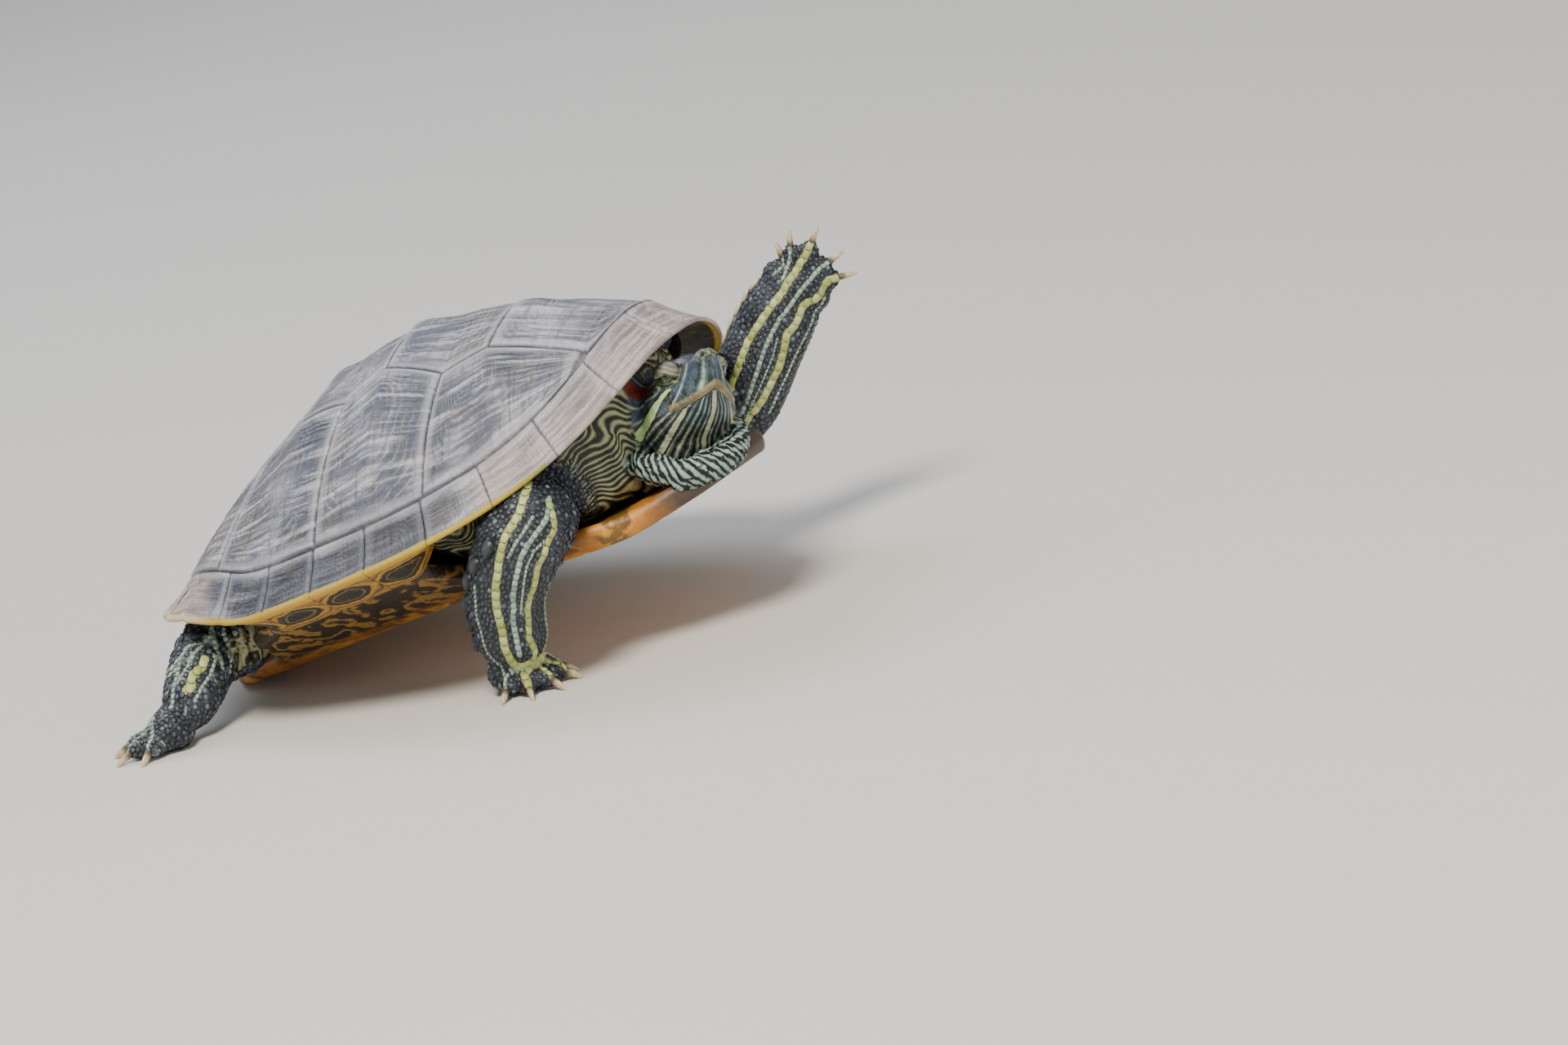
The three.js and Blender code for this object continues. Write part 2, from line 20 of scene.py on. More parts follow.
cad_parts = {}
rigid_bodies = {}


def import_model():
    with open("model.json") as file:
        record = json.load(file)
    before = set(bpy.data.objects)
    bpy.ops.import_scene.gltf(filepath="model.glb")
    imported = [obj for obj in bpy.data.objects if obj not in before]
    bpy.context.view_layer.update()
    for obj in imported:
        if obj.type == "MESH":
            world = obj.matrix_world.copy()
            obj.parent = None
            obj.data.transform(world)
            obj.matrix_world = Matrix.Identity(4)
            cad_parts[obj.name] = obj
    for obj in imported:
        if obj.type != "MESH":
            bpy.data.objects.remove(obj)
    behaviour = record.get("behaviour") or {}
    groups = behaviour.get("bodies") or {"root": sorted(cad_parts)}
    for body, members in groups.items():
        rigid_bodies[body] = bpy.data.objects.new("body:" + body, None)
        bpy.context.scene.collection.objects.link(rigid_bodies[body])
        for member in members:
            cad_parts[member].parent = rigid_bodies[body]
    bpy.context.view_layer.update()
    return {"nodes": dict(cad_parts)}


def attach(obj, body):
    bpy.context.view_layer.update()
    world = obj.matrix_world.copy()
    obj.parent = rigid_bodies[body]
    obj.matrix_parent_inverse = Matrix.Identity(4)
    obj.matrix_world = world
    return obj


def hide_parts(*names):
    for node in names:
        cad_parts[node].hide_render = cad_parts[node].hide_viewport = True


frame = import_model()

print("nodes in the frame:", len(frame["nodes"]))

# %% [markdown]
# ## Units and the animal's own frame
# A turtle is easiest to describe level: X towards its head, Y to its left, Z up, in
# millimetres, with the plane of the shell's rim at zero. The real one stands nose-up, so each
# finished mesh is pitched and moved onto the floor in one last step, `to_floor`.

# %% Units
MM = 0.001
DEGREE = math.pi / 180
PITCH = 13.5 * DEGREE
REST_SHIFT = np.array([-7.0, -2.0, 49.5])
GAP = 0.35


def to_floor(points):
    """Body-frame millimetres to metres in the frame of the finished model."""
    points = np.asarray(points, float)
    x, y, z = points[..., 0], points[..., 1], points[..., 2]
    pitched = [x * math.cos(PITCH) - z * math.sin(PITCH), y, x * math.sin(PITCH) + z * math.cos(PITCH)]
    return (np.stack(pitched, -1) + REST_SHIFT) * MM


def from_floor(points):
    """The way back: metres in the finished model to body-frame millimetres."""
    x, y, z = (np.asarray(points, float) / MM - REST_SHIFT).T
    level = [x * math.cos(PITCH) + z * math.sin(PITCH), y, z * math.cos(PITCH) - x * math.sin(PITCH)]
    return np.stack(level, -1)


def unit(vectors):
    vectors = np.asarray(vectors, float)
    return vectors / np.maximum(1e-9, np.linalg.norm(vectors, axis=-1, keepdims=True))


def lerp(start, end, share):
    return start + (end - start) * share


def smoothstep(value, low, high):
    share = np.clip((np.asarray(value, float) - low) / (high - low), 0, 1)
    return share * share * (3 - 2 * share)


def bell(distance, width):
    return np.exp(-(np.asarray(distance, float) / width) ** 2)


print("body pitched nose-up by", round(PITCH / DEGREE, 1), "degrees")

# %% [markdown]
# ## Curves and noise
# A living outline is a smooth curve through a few measured places. `profile` is such a curve,
# `polyline` keeps its corners for seams, and `noise` is a seeded, repeatable unevenness that
# can be evaluated at every vertex at once.

# %% Curves and noise
def profile(pairs):
    places, values = np.array(pairs, float).T
    low = np.maximum(np.arange(len(places)) - 1, 0)
    high = np.minimum(np.arange(len(places)) + 1, len(places) - 1)
    slopes = (values[high] - values[low]) / (places[high] - places[low])

    def curve(place):
        at = np.clip(place, places[0], places[-1])
        i = np.clip(np.searchsorted(places, at) - 1, 0, len(places) - 2)
        span = places[i + 1] - places[i]
        s = (at - places[i]) / span
        bend = s * (1 - s) ** 2 * span * slopes[i] + s * s * (s - 1) * span * slopes[i + 1]
        return lerp(values[i], values[i + 1], s * s * (3 - 2 * s)) + bend
    return curve


def polyline(pairs):
    places, values = np.array(pairs, float).T
    return lambda place: np.interp(place, places, values)


HASH_STEPS = (73856093, 19349663, 83492791)
SEED_STEP = 668265263
HASH_MIX = 1274126177


def noise(points, size, seed=0):
    """Smooth unevenness from -1 to 1, with bumps about size apart."""
    scaled = np.asarray(points, float) / size
    cell = np.floor(scaled).astype(np.int64)
    blend = scaled - cell
    blend = blend * blend * (3 - 2 * blend)
    total = 0
    for corner in itertools.product((0, 1), repeat=scaled.shape[-1]):
        mixed = ((cell + corner) * HASH_STEPS[:scaled.shape[-1]]).sum(-1) + seed * SEED_STEP
        mixed = (mixed ^ (mixed >> 13)) * HASH_MIX
        value = ((mixed ^ (mixed >> 16)) & 0xFFFF) / 0x7FFF - 1
        total = total + value * np.prod(np.where(corner, blend, 1 - blend), -1)
    return total


print("noise has a hash step for each of", len(HASH_STEPS), "axes")

# %% [markdown]
# ## The shell's two surfaces
# A slider's carapace is a low dome on a ring of marginal plates. The rim seen from above is
# wide behind the middle, and it sweeps up over the neck. Both surfaces are functions of the
# place along the shell, so a seam can be drawn anywhere on them.

# %% Shell sizes
STATION_LENGTH = 220
REAR_STATION = 0.975
HALF_WIDTH = 89
WIDEST_STATION = 0.56
REAR_TAPER = 2.1
RIM_LEVEL = -2.8
FRONT_RIM_RISE = 25
REAR_RIM_RISE = 7
MARGIN_WIDTH = 13.6
MARGIN_RISE = 11.3
REAR_MARGIN_RISE = 6
RIM_THICKNESS = 1.6
PLATE_DEPTH = 5
BRIDGE_DROP = -9
FREE_LIP = 4.5
SEAM_STATIONS = [
    0.0016, 0.045, 0.12, 0.21, 0.31, 0.415, 0.515, 0.61, 0.705, 0.8, 0.88, 0.94, REAR_STATION,
]
KEEL = [[-92, 12], [-73, 22.5], [-52, 34.5], [-20, 48], [12, 53.5], [46, 50], [72, 43], [97, 33]]
keel_height = profile(KEEL)
print("carapace length in mm:", STATION_LENGTH * REAR_STATION)

# %% Rim
def station_of(walk):
    return REAR_STATION * (1 - np.cos(math.pi * np.asarray(walk, float))) / 2


def walk_of(station):
    return math.acos(1 - 2 * station / REAR_STATION) / math.pi


def x_of(station):
    return STATION_LENGTH * (0.5 - np.asarray(station, float))


def rim_half_width(station):
    ahead = np.clip(station, 1e-6, WIDEST_STATION)
    front = np.sin(math.pi * ahead ** 1.195) ** (0.4 - 0.5 * ahead)
    behind = np.clip((station - WIDEST_STATION) / (REAR_STATION - WIDEST_STATION), 0, 1)
    rear = np.sqrt(1 - behind ** REAR_TAPER)
    return HALF_WIDTH * np.where(station < WIDEST_STATION, front, rear)


def rim_height(station):
    front = FRONT_RIM_RISE * np.exp(-(np.maximum(station, 0) / 0.115) ** 1.15)
    return RIM_LEVEL + front + REAR_RIM_RISE * smoothstep(station, 0.62, 0.83)


def rim_point(walk):
    station = station_of(walk)
    return np.stack([x_of(station), rim_half_width(station), rim_height(station)], -1)


def inward(walk):
    """Unit vector in plan, square to the rim and pointing into the shell."""
    reach = 0.012
    step = rim_point(np.minimum(1, walk + reach)) - rim_point(np.maximum(0, walk - reach))
    return unit(np.stack([-step[..., 1], step[..., 0], 0 * step[..., 0]], -1))


def inner_point(walk):
    inner = rim_point(walk) + inward(walk) * MARGIN_WIDTH
    inner[..., 1] = np.maximum(0, inner[..., 1])
    flat = smoothstep(station_of(walk), 0.72, 0.95)
    inner[..., 2] += lerp(MARGIN_RISE, REAR_MARGIN_RISE, flat)
    return inner


print("rim width in mm:", 2 * HALF_WIDTH)

# %% Dome
inner_edge = inner_point(np.linspace(1, 0, 81))
inner_half_width = polyline(inner_edge[:, [0, 1]])
inner_height = polyline(inner_edge[:, [0, 2]])


def dome_height(x, y):
    share = np.clip(np.abs(y) / np.maximum(1, inner_half_width(x)), 0, 1)
    fall = 1 - 0.9 * share ** 1.7 - 0.1 * share ** 6
    return lerp(inner_height(x), keel_height(x), fall)


def under_drop(station):
    bridge = smoothstep(station, 0.27, 0.37) - smoothstep(station, 0.62, 0.75)
    return lerp(FREE_LIP, BRIDGE_DROP, bridge)


print("top of the keel in mm over the rim's plane:", max(height for _, height in KEEL))

# %% [markdown]
# ## Colours and nodes
# Colours are written as sRGB hex values, as a painter would note them, and one function turns
# them to linear light. One small function, `add`, adds a shader node with its settings and
# links. A finish is built up like paint: `lay` puts one colour over another where a pattern is.

# %% Colour and node helpers
def colour(code):
    channels = [int(code[i:i + 2], 16) / 255 for i in (1, 3, 5)]
    return [c / 12.92 if c <= 0.04045 else ((c + 0.055) / 1.055) ** 2.4 for c in channels] + [1]


def feed(node, inputs):
    """Sets or links a node's inputs. Each value is a link, a number or a hex colour."""
    for key, value in inputs.items():
        named = [socket for socket in node.inputs if socket.enabled and socket.name == key]
        socket = named[0] if named else node.inputs[key]
        if isinstance(value, bpy.types.NodeSocket):
            node.id_data.links.new(value, socket)
        elif isinstance(value, str):
            socket.default_value = colour(value)
        else:
            socket.default_value = (value, value, value, 1) if socket.type == "RGBA" else value


def add(tree, kind, inputs, out=None, stops=None, **settings):
    """Adds one node and gives back an output. Every Mix here mixes colours."""
    node = tree.nodes.new("ShaderNode" + kind)
    if kind == "Mix":
        node.data_type = "RGBA"
    for key, value in settings.items():
        setattr(node, key, value)
    feed(node, inputs)
    for i, (place, code) in enumerate(stops or ()):
        elements = node.color_ramp.elements
        element = elements[i] if i < len(elements) else elements.new(1.0)
        element.position = place
        element.color = colour(code) if isinstance(code, str) else (code, code, code, 1)
    return node.outputs[out] if out else next(socket for socket in node.outputs if socket.enabled)


def dress(look, inputs):
    """Feeds the one shader of a material and gives the material back."""
    feed(look.node_tree.nodes["Principled BSDF"], inputs)
    return look


def material(name, roughness, ior=1.5):
    """A new material, and `add` tied to its nodes."""
    look = bpy.data.materials.new(name)
    look.use_nodes = True
    return dress(look, {"Roughness": roughness, "IOR": ior}), functools.partial(add, look.node_tree)


def lay(put, base, coat, pattern, stops, within=None):
    """Lays a colour over a base, as strongly as a ramp makes of a pattern, and within a mask."""
    strength = put("ValToRGB", {"Fac": pattern}, stops=stops)
    if within is not None:
        strength = put("Math", {0: strength, 1: within}, operation="MULTIPLY")
    return put("Mix", {"Factor": strength, "A": base, "B": coat})


print("white is", colour("#ffffff"))

# %% [markdown]
# ## The carapace finish
# The plates are keratin, like a fingernail: grown in yearly rings, then dried and scuffed to a
# lavender grey. To the eye that is a soft sheen over pale growth lines, dark worn grooves, a
# few ochre streaks, and a pale edge beside each seam. Under the rim the same keratin is young
# and bright: yellow-orange with dark, ringed blots.
# Each plate carries its own measures: along and across in millimetres, the distance to its
# edge, and its growth ring. The pattern reads those, so that it follows every plate.

# %% Pattern sizes
def per_mm(size):
    """Texture scale for a pattern of this size in millimetres, on metre coordinates."""
    return 1 / (size * MM)


print("a pattern of 5 mm has a scale of", round(per_mm(5)))

# %% Old horn
GROWTH_RINGS = 11


def dry_horn(put, place, long_way, scuffs, cracks):
    """Lavender grey, cloudy over a few centimetres, with scuffs, cracks and chalky spots."""
    broad = put("TexNoise", {"Vector": place, "Scale": per_mm(26), "Detail": 4.0})
    base = put("ValToRGB", {"Fac": broad}, stops=[
        (0.34, "#2f3644"), (0.45, "#4f5564"), (0.55, "#787c8b"), (0.68, "#a3a5b3")])
    warm = put("TexNoise", {"Vector": place, "Scale": per_mm(34), "Detail": 3.0})
    base = lay(put, base, "#8a8074", warm, [(0.5, 0.0), (0.66, 0.4)])
    worn = lay(put, base, "#c2c3d0", scuffs, [(0.46, 0.0), (0.68, 0.8)])
    worn = lay(put, worn, "#3a3a42", cracks, [(0.3, 0.8), (0.46, 0.0)])
    cool = put("TexNoise", {"Vector": place, "Scale": per_mm(22)})
    worn = lay(put, worn, "#414a5f", cool, [(0.5, 0.0), (0.6, 0.75)])
    chalk = put("TexNoise", {"Vector": long_way, "Scale": 0.5, "Detail": 3.0})
    worn = lay(put, worn, "#cfd0da", chalk, [(0.54, 0.0), (0.66, 0.6)])
    rugae = put("Attribute", {}, out="Fac", attribute_name="rugae")
    return put("Mix", {"Factor": rugae, "A": worn, "B": "#30343f"})


def aged_horn(put, place, cross_way, worn):
    """Growth rings in patches where they aren't worn off, ochre streaks, algae and dark pits."""
    ring = put("Attribute", {}, out="Fac", attribute_name="ring")
    drift = put("TexNoise", {"Vector": place, "Scale": per_mm(9)})
    grown = put("Math", {0: drift, 1: 0.13, 2: ring}, operation="MULTIPLY_ADD")
    turns = put("Math", {0: grown, 1: GROWTH_RINGS}, operation="MULTIPLY")
    wave = put("Math", {0: turns, 1: 0.5}, operation="PINGPONG")
    patches = put("TexNoise", {"Vector": place, "Scale": per_mm(13)})
    patches = put("ValToRGB", {"Fac": patches}, stops=[(0.46, 0.05), (0.62, 0.6)])
    worn = lay(put, worn, "#3d3b3e", wave, [(0.0, 1.0), (0.13, 0.0)], within=patches)
    worn = lay(put, worn, "#d3cfca", wave, [(0.36, 0.0), (0.5, 0.7)], within=patches)
    ochre = put("TexNoise", {"Vector": cross_way, "Scale": 2.3})
    worn = lay(put, worn, "#a57c4d", ochre, [(0.64, 0.0), (0.7, 0.5)])
    algae = put("TexNoise", {"Vector": cross_way, "Scale": 1.1})
    worn = lay(put, worn, "#5d6352", algae, [(0.54, 0.0), (0.66, 0.55)])
    pits = put("TexNoise", {"Vector": place, "Scale": per_mm(1.3)})
    return lay(put, worn, "#2f2d2d", pits, [(0.35, 0.28), (0.52, 0.0)])


def seamed_horn(put, plate, scuffs, bleach, worn):
    """A dark line in each seam with a pale lip beside it, then painted shade on the side marginals, then
    bleaching.
    """
    edge = put("SeparateXYZ", {"Vector": plate}, out="Z")
    beside = put("Math", {0: edge, 1: 4.0}, operation="DIVIDE", use_clamp=True)
    worn = lay(put, worn, "#bcbdc8", beside, [(0.06, 0.1), (0.25, 0.55), (0.5, 0.35), (0.9, 0.0)])
    seam = put("Math", {0: edge, 1: 0.8}, operation="DIVIDE", use_clamp=True)
    worn = lay(put, worn, "#54555c", seam, [(0.1, 0.5), (0.45, 0.0)])
    # Painted shade: where the bleaching measure drops below zero, the worn horn is darkened towards slate.
    painted_shade = put("Math", {0: bleach, 1: -1.0}, operation="MULTIPLY", use_clamp=True)
    slate = put("Mix", {"Factor": 0.8, "A": worn, "B": "#4a5262"}, blend_type="MULTIPLY")
    worn = put("Mix", {"Factor": painted_shade, "A": worn, "B": slate})
    tan = put("ValToRGB", {"Fac": scuffs}, stops=[(0.36, "#857771"), (0.5, "#b3a098"), (0.66, "#cfbfb4")])
    return put("Mix", {"Factor": bleach, "A": worn, "B": tan})


print("old horn carries", GROWTH_RINGS, "growth rings")

# %% Carapace material
def young_horn(put, place, under, bleach):
    """Yellow-orange keratin under the rim, with ringed dark blots, one to a plate."""
    blot = put("Attribute", {}, out="Fac", attribute_name="blot")
    stir = put("TexNoise", {"Vector": place, "Scale": per_mm(7)})
    stir = put("Math", {0: stir, 1: 0.5, 2: -0.25}, operation="MULTIPLY_ADD")
    blot = put("Math", {0: blot, 1: stir}, operation="ADD")
    rings = put("ValToRGB", {"Fac": blot}, stops=[
        (0.0, "#0f0f0b"), (0.36, "#14130d"), (0.4, "#8d7434"), (0.44, "#16140d"), (0.58, "#14130d"),
        (0.63, "#a5812f"), (0.7, "#bd8a2c"), (0.75, "#a8742a"), (0.8, "#2b2415"), (0.87, "#a97c30"),
        (1.0, "#8d6826")])
    stain = put("TexNoise", {"Vector": place, "Scale": per_mm(5)})
    fresh = lay(put, rings, "#6b5a26", stain, [(0.45, 0.0), (0.75, 0.35)])
    lip = put("Math", {0: under, 1: 3.6}, operation="DIVIDE", use_clamp=True)
    gold = put("ValToRGB", {"Fac": lip}, stops=[(0.0, "#8f8a35"), (0.35, "#c6a22c"), (1.0, "#d08f22")])
    behind = put("SeparateXYZ", {"Vector": place}, out="X")
    behind = put("MapRange", {"Value": behind, "From Min": -15 * MM, "From Max": -40 * MM})
    behind = put("Math", {0: behind, 1: bleach}, operation="MULTIPLY", use_clamp=True)
    gold = put("Mix", {"Factor": behind, "A": gold, "B": "#d9c9a8"})
    return lay(put, fresh, gold, lip, [(0.55, 1.0), (0.85, 0.0)])


def carapace_finish():
    look, put = material("worn_keratin_scute", 0.46, ior=1.54)
    place = put("TexCoord", {}, out="Object")
    plate = put("Attribute", {}, out="Vector", attribute_name="plate")
    under, bleach = (put("Attribute", {}, out="Fac", attribute_name=name) for name in ("under", "bleach"))

    # Scuffs run lengthwise on each plate, and cracks crosswise.
    long_way = put("Mapping", {"Vector": plate, "Scale": (0.05, 0.62, 0)})
    cross_way = put("Mapping", {"Vector": plate, "Scale": (0.55, 0.045, 0)})
    scuffs, cracks = (
        put("TexNoise", {"Vector": way, "Scale": 1.0, "Detail": 5.0, "Roughness": 0.62, "Distortion": bend})
        for way, bend in ((long_way, 0.4), (cross_way, 0.5)))
    worn = dry_horn(put, place, long_way, scuffs, cracks)
    worn = aged_horn(put, place, cross_way, worn)
    top = seamed_horn(put, plate, scuffs, bleach, worn)
    below = put("Math", {0: under, 1: 0.0}, operation="GREATER_THAN")
    finish = put("Mix", {"Factor": below, "A": top, "B": young_horn(put, place, under, bleach)})

    grain = put("TexNoise", {"Vector": place, "Scale": per_mm(0.9), "Detail": 4.0})
    height = put("Math", {0: scuffs, 1: grain}, operation="ADD")
    height = put("Math", {0: height, 1: cracks}, operation="ADD")
    bump = put("Bump", {"Height": height, "Strength": 0.55, "Distance": 0.7 * MM})
    sheen = put("MapRange", {"Value": grain, "To Min": 0.38, "To Max": 0.62})
    return dress(look, {"Base Color": finish, "Normal": bump, "Roughness": sheen})


carapace = carapace_finish()
print("made", carapace.name)

# %% [markdown]
# ## Horny plates over the dome
# Each scute of a living shell is a separate plate of horn over bone, thickest where it was
# laid down first. A plate starts here as a flat grid, is draped over the dome, and is then
# carved along its own normals: growth rings round the oldest spot, fine wrinkles, and an edge
# that rolls into the seam. The grid's border is then extruded down and closed, so that each
# plate is one solid body.

# %% Seams of the dome
SEAM_GAP = 0.12
vertebral_seams = [0.067, 0.25, 0.43, 0.61, 0.775, 0.91]
vertebral_corners = [0.102, 0.315, 0.495, 0.68, 0.88]
vertebral_corner_halves = [24, 32, 32, 30, 27]
costal_feet = [0.115, 0.325, 0.515, 0.715, 0.865]
VERTEBRAL_SEAM_HALF = 23
END_CLEARANCE = 1.2

vertebral_knots = []
for seam, corner, half in zip(vertebral_seams, vertebral_corners, vertebral_corner_halves):
    vertebral_knots += [[seam, VERTEBRAL_SEAM_HALF], [corner, half]]
vertebral_half = polyline(vertebral_knots)


def vertebral_plan(number):
    seam, corner, end = vertebral_seams[number - 1], vertebral_corners[number - 1], vertebral_seams[number]
    station_at = polyline([[0, seam], [0.5, corner], [1, end]])

    def plan(u, v):
        station = station_at(u)
        x = x_of(station)
        half = np.minimum(vertebral_half(station), inner_half_width(x) - END_CLEARANCE)
        return x, (1 - 2 * v) * half
    return plan


def costal_plan(number, side):
    top = polyline([
        [0, vertebral_corners[number - 1]], [0.5, vertebral_seams[number]], [1, vertebral_corners[number]],
    ])
    foot = polyline([[0, costal_feet[number - 1]], [1, costal_feet[number]]])

    def plan(u, v):
        inner = np.minimum(vertebral_half(top(u)), inner_half_width(x_of(top(u))) - 3)
        outer = inner_half_width(x_of(foot(u))) - GAP
        return x_of(lerp(top(u), foot(u), v)), side * lerp(inner, outer, v)
    return plan


print("widest vertebral plate in mm:", 2 * max(vertebral_corner_halves))

# %% Grids and measures
def set_points(mesh, points):
    mesh.vertices.foreach_set("co", np.asarray(points, np.float32).ravel())
    mesh.update()


def get_points(mesh):
    points = np.zeros(len(mesh.vertices) * 3, np.float32)
    mesh.vertices.foreach_get("co", points)
    return points.reshape(-1, 3).astype(float)


def get_normals(mesh):
    normals = np.zeros(len(mesh.vertices) * 3, np.float32)
    mesh.vertex_normals.foreach_get("vector", normals)
    return normals.reshape(-1, 3).astype(float)


def set_measures(mesh, **measures):
    """Stores numbers, or vectors of three, at every vertex for the finishes to read."""
    for name, values in measures.items():
        values = np.asarray(values, np.float32)
        kind, key = ("FLOAT", "value") if values.ndim == 1 else ("FLOAT_VECTOR", "vector")
        mesh.attributes.new(name, kind, "POINT").data.foreach_set(key, values.ravel())


def as_mesh(bm, name):
    """Writes a finished bmesh into a new mesh."""
    mesh = bpy.data.meshes.new(name)
    bm.to_mesh(mesh)
    bm.free()
    return mesh


def grid_mesh(name, along, across):
    """A flat grid and each vertex's shares along and across it, both from 0 to 1."""
    bm = bmesh.new()
    bmesh.ops.create_grid(bm, x_segments=along, y_segments=across, size=1)
    mesh = as_mesh(bm, name)
    shares = get_points(mesh)[:, :2] * 0.5 + 0.5
    return mesh, shares[:, 0], shares[:, 1]


def growth_ring(u, v, centre):
    """0 at the oldest spot of a plate and 1 along its edge."""
    off_u, off_v = (
        np.where(share > spot, (share - spot) / (1 - spot), (spot - share) / spot)
        for share, spot in ((u, centre[0]), (v, centre[1])))
    return np.clip((off_u ** 4 + off_v ** 4) ** 0.25, 0, 1)


print("growth ring at a plate's corner:", float(growth_ring(1.0, 1.0, (0.7, 0.5))))

# %% Carving and closing
def horn_relief(plate, ring, edge, seed, depth=1.0):
    """Height of a plate's carving in millimetres, over its measures."""
    shift = plate[:, :2] + [seed * 37, 0]
    drift = 0.10 * noise(shift, 11, seed)
    rounds = np.abs(np.sin(math.pi * GROWTH_RINGS * (ring + drift)))
    strength = smoothstep(ring, 0.16, 0.5) * (0.55 + 0.45 * noise(shift, 9, seed + 5))
    wrinkle = np.abs(noise(shift * [0.22, 1], 1.7, seed + 9)) * smoothstep(ring, 0.95, 0.45)
    cross = np.abs(noise(shift * [1, 0.2], 1.9, seed + 13))
    lumps = noise(shift, 15, seed + 2)
    carved = 0.34 * strength * (rounds - 0.6) - 0.5 * wrinkle * 0.55 - 0.22 * cross + 0.3 * lumps
    rolled = 0.3 * bell(edge - 1.6, 1.3) - 0.4 * bell(edge, 0.4)
    return depth * carved * smoothstep(edge, 0.2, 1.5) + rolled


def linked(name, content):
    """A new object that holds this mesh, lamp or camera, linked to the scene."""
    made = bpy.data.objects.new(name, content)
    bpy.context.scene.collection.objects.link(made)
    return made


def finish_piece(name, mesh, look, nodes=()):
    """Links a finished mesh as a piece of the turtle that rides on its one body."""
    made = linked(name, mesh)
    mesh.polygons.foreach_set("use_smooth", [True] * len(mesh.polygons))
    mesh.materials.append(look)
    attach(made, "root")
    if nodes:
        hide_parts(*nodes)
    return made


CREASE_ANGLE = 1.0


def close_below(mesh, depth):
    """Extrudes the border of an open plate down in the body frame and closes the bottom."""
    bm = bmesh.new()
    bm.from_mesh(mesh)
    border = [edge for edge in bm.edges if edge.is_boundary]
    wall = bmesh.ops.extrude_edge_only(bm, edges=border)["geom"]
    low = [part for part in wall if isinstance(part, bmesh.types.BMVert)]
    bmesh.ops.translate(bm, verts=low, vec=(0, 0, -depth))
    bottom = [part for part in wall if isinstance(part, bmesh.types.BMEdge)]
    bmesh.ops.triangle_fill(bm, use_beauty=True, edges=bottom)
    bmesh.ops.recalc_face_normals(bm, faces=bm.faces)
    for edge in bm.edges:
        edge.smooth = edge.calc_face_angle(0) <= CREASE_ANGLE
    bm.to_mesh(mesh)
    bm.free()


print("edges sharper than", round(CREASE_ANGLE / DEGREE), "degrees are creased")

# %% Vertebral and costal plates
RUGAE_PITCH = 2.1
ON_TOP = -5.0
RUGAE_PATCH = (0.3, 0.2, 0.22, 0.16)
KEEL_KNOB = 2


def dome_scute(name, plan, centre, seed, cells):
    mesh, u, v = grid_mesh(name, *cells)
    length = np.hypot(*np.subtract(plan(0.0, 0.5), plan(1.0, 0.5)))
    width = np.hypot(*np.subtract(plan(0.5, 0.0), plan(0.5, 1.0)))
    inset_u = lerp(SEAM_GAP / length, 1 - SEAM_GAP / length, u)
    inset_v = lerp(SEAM_GAP / width, 1 - SEAM_GAP / width, v)
    x, y = plan(inset_u, inset_v)
    flat = np.stack([x, y, dome_height(x, y)], -1)
    set_points(mesh, flat)
    outward = get_normals(mesh)
    outward *= np.sign(outward[:, 2:3])
    edge = np.minimum(np.minimum(u, 1 - u) * length, np.minimum(v, 1 - v) * width)
    ring = growth_ring(u, v, centre)
    plate = np.stack([u * length, v * width, edge], -1)
    knob = KEEL_KNOB * bell(y, 5) * bell(u - 0.88, 0.12) if "vertebral" in name else 0
    fold_u, fold_v, reach_u, reach_v = RUGAE_PATCH
    cluster = bell((u - fold_u) / reach_u, 1) * bell((v - fold_v - 0.06 * noise(flat, 9)) / reach_v, 1)
    cluster = cluster * (0.3 if "vertebral" in name else 1)
    clustered = smoothstep(cluster, 0.2, 0.5)
    rugae = clustered * np.abs(np.sin(math.pi * (v * width + noise(flat, 14)) / RUGAE_PITCH))
    relief = horn_relief(plate, ring, edge, seed) + knob + 0.3 * rugae * smoothstep(edge, 1, 3)
    set_points(mesh, flat + outward * relief[:, None])
    plate[:, :2] += [seed * 61.0, seed * 17.0]
    set_measures(
        mesh, plate=plate, ring=ring, under=np.full(len(u), ON_TOP),
        bleach=np.clip(0.55 * smoothstep(x, -78, -98) + 0.2 * noise(flat, 12), 0, 1),
        rugae=clustered * smoothstep(rugae, 0.55, 0.15) * 0.8, blot=np.ones(len(u)))
    close_below(mesh, PLATE_DEPTH - 1.2)
    set_points(mesh, to_floor(get_points(mesh)))
    return finish_piece("scute_" + name, mesh, carapace, [name])


VERTEBRAL_CENTRE = (0.72, 0.5)
VERTEBRAL_CELLS = (84, 96)
COSTAL_CENTRE = (0.7, 0.3)
COSTAL_CELLS = (90, 110)
sides = {"right": -1, "left": 1}
for number in range(1, 6):
    dome_scute(f"vertebral_{number}", vertebral_plan(number), VERTEBRAL_CENTRE, number, VERTEBRAL_CELLS)
for label, side in sides.items():
    for number in range(1, 5):
        dome_scute(f"costal_{label}_{number}", costal_plan(number, side), COSTAL_CENTRE,
                   number + 10 + side, COSTAL_CELLS)
print("dome plates:", 5 + 8)

# %% [markdown]
# ## Marginal plates
# The ring of 25 small plates folds over the shell's rim, so a section through one is a thin
# leaf: a top that flares outwards, a rounded lip, and an underside that runs in to the skin,
# or drops to the bridge amidships. Each leaf is a grid rolled round that section, joined along
# its hidden inner wall, with both ends filled.

# %% Folded leaf
TOP_SHARE = 0.44
LIP_SHARE = 0.54
UNDER_SHARE = 0.97


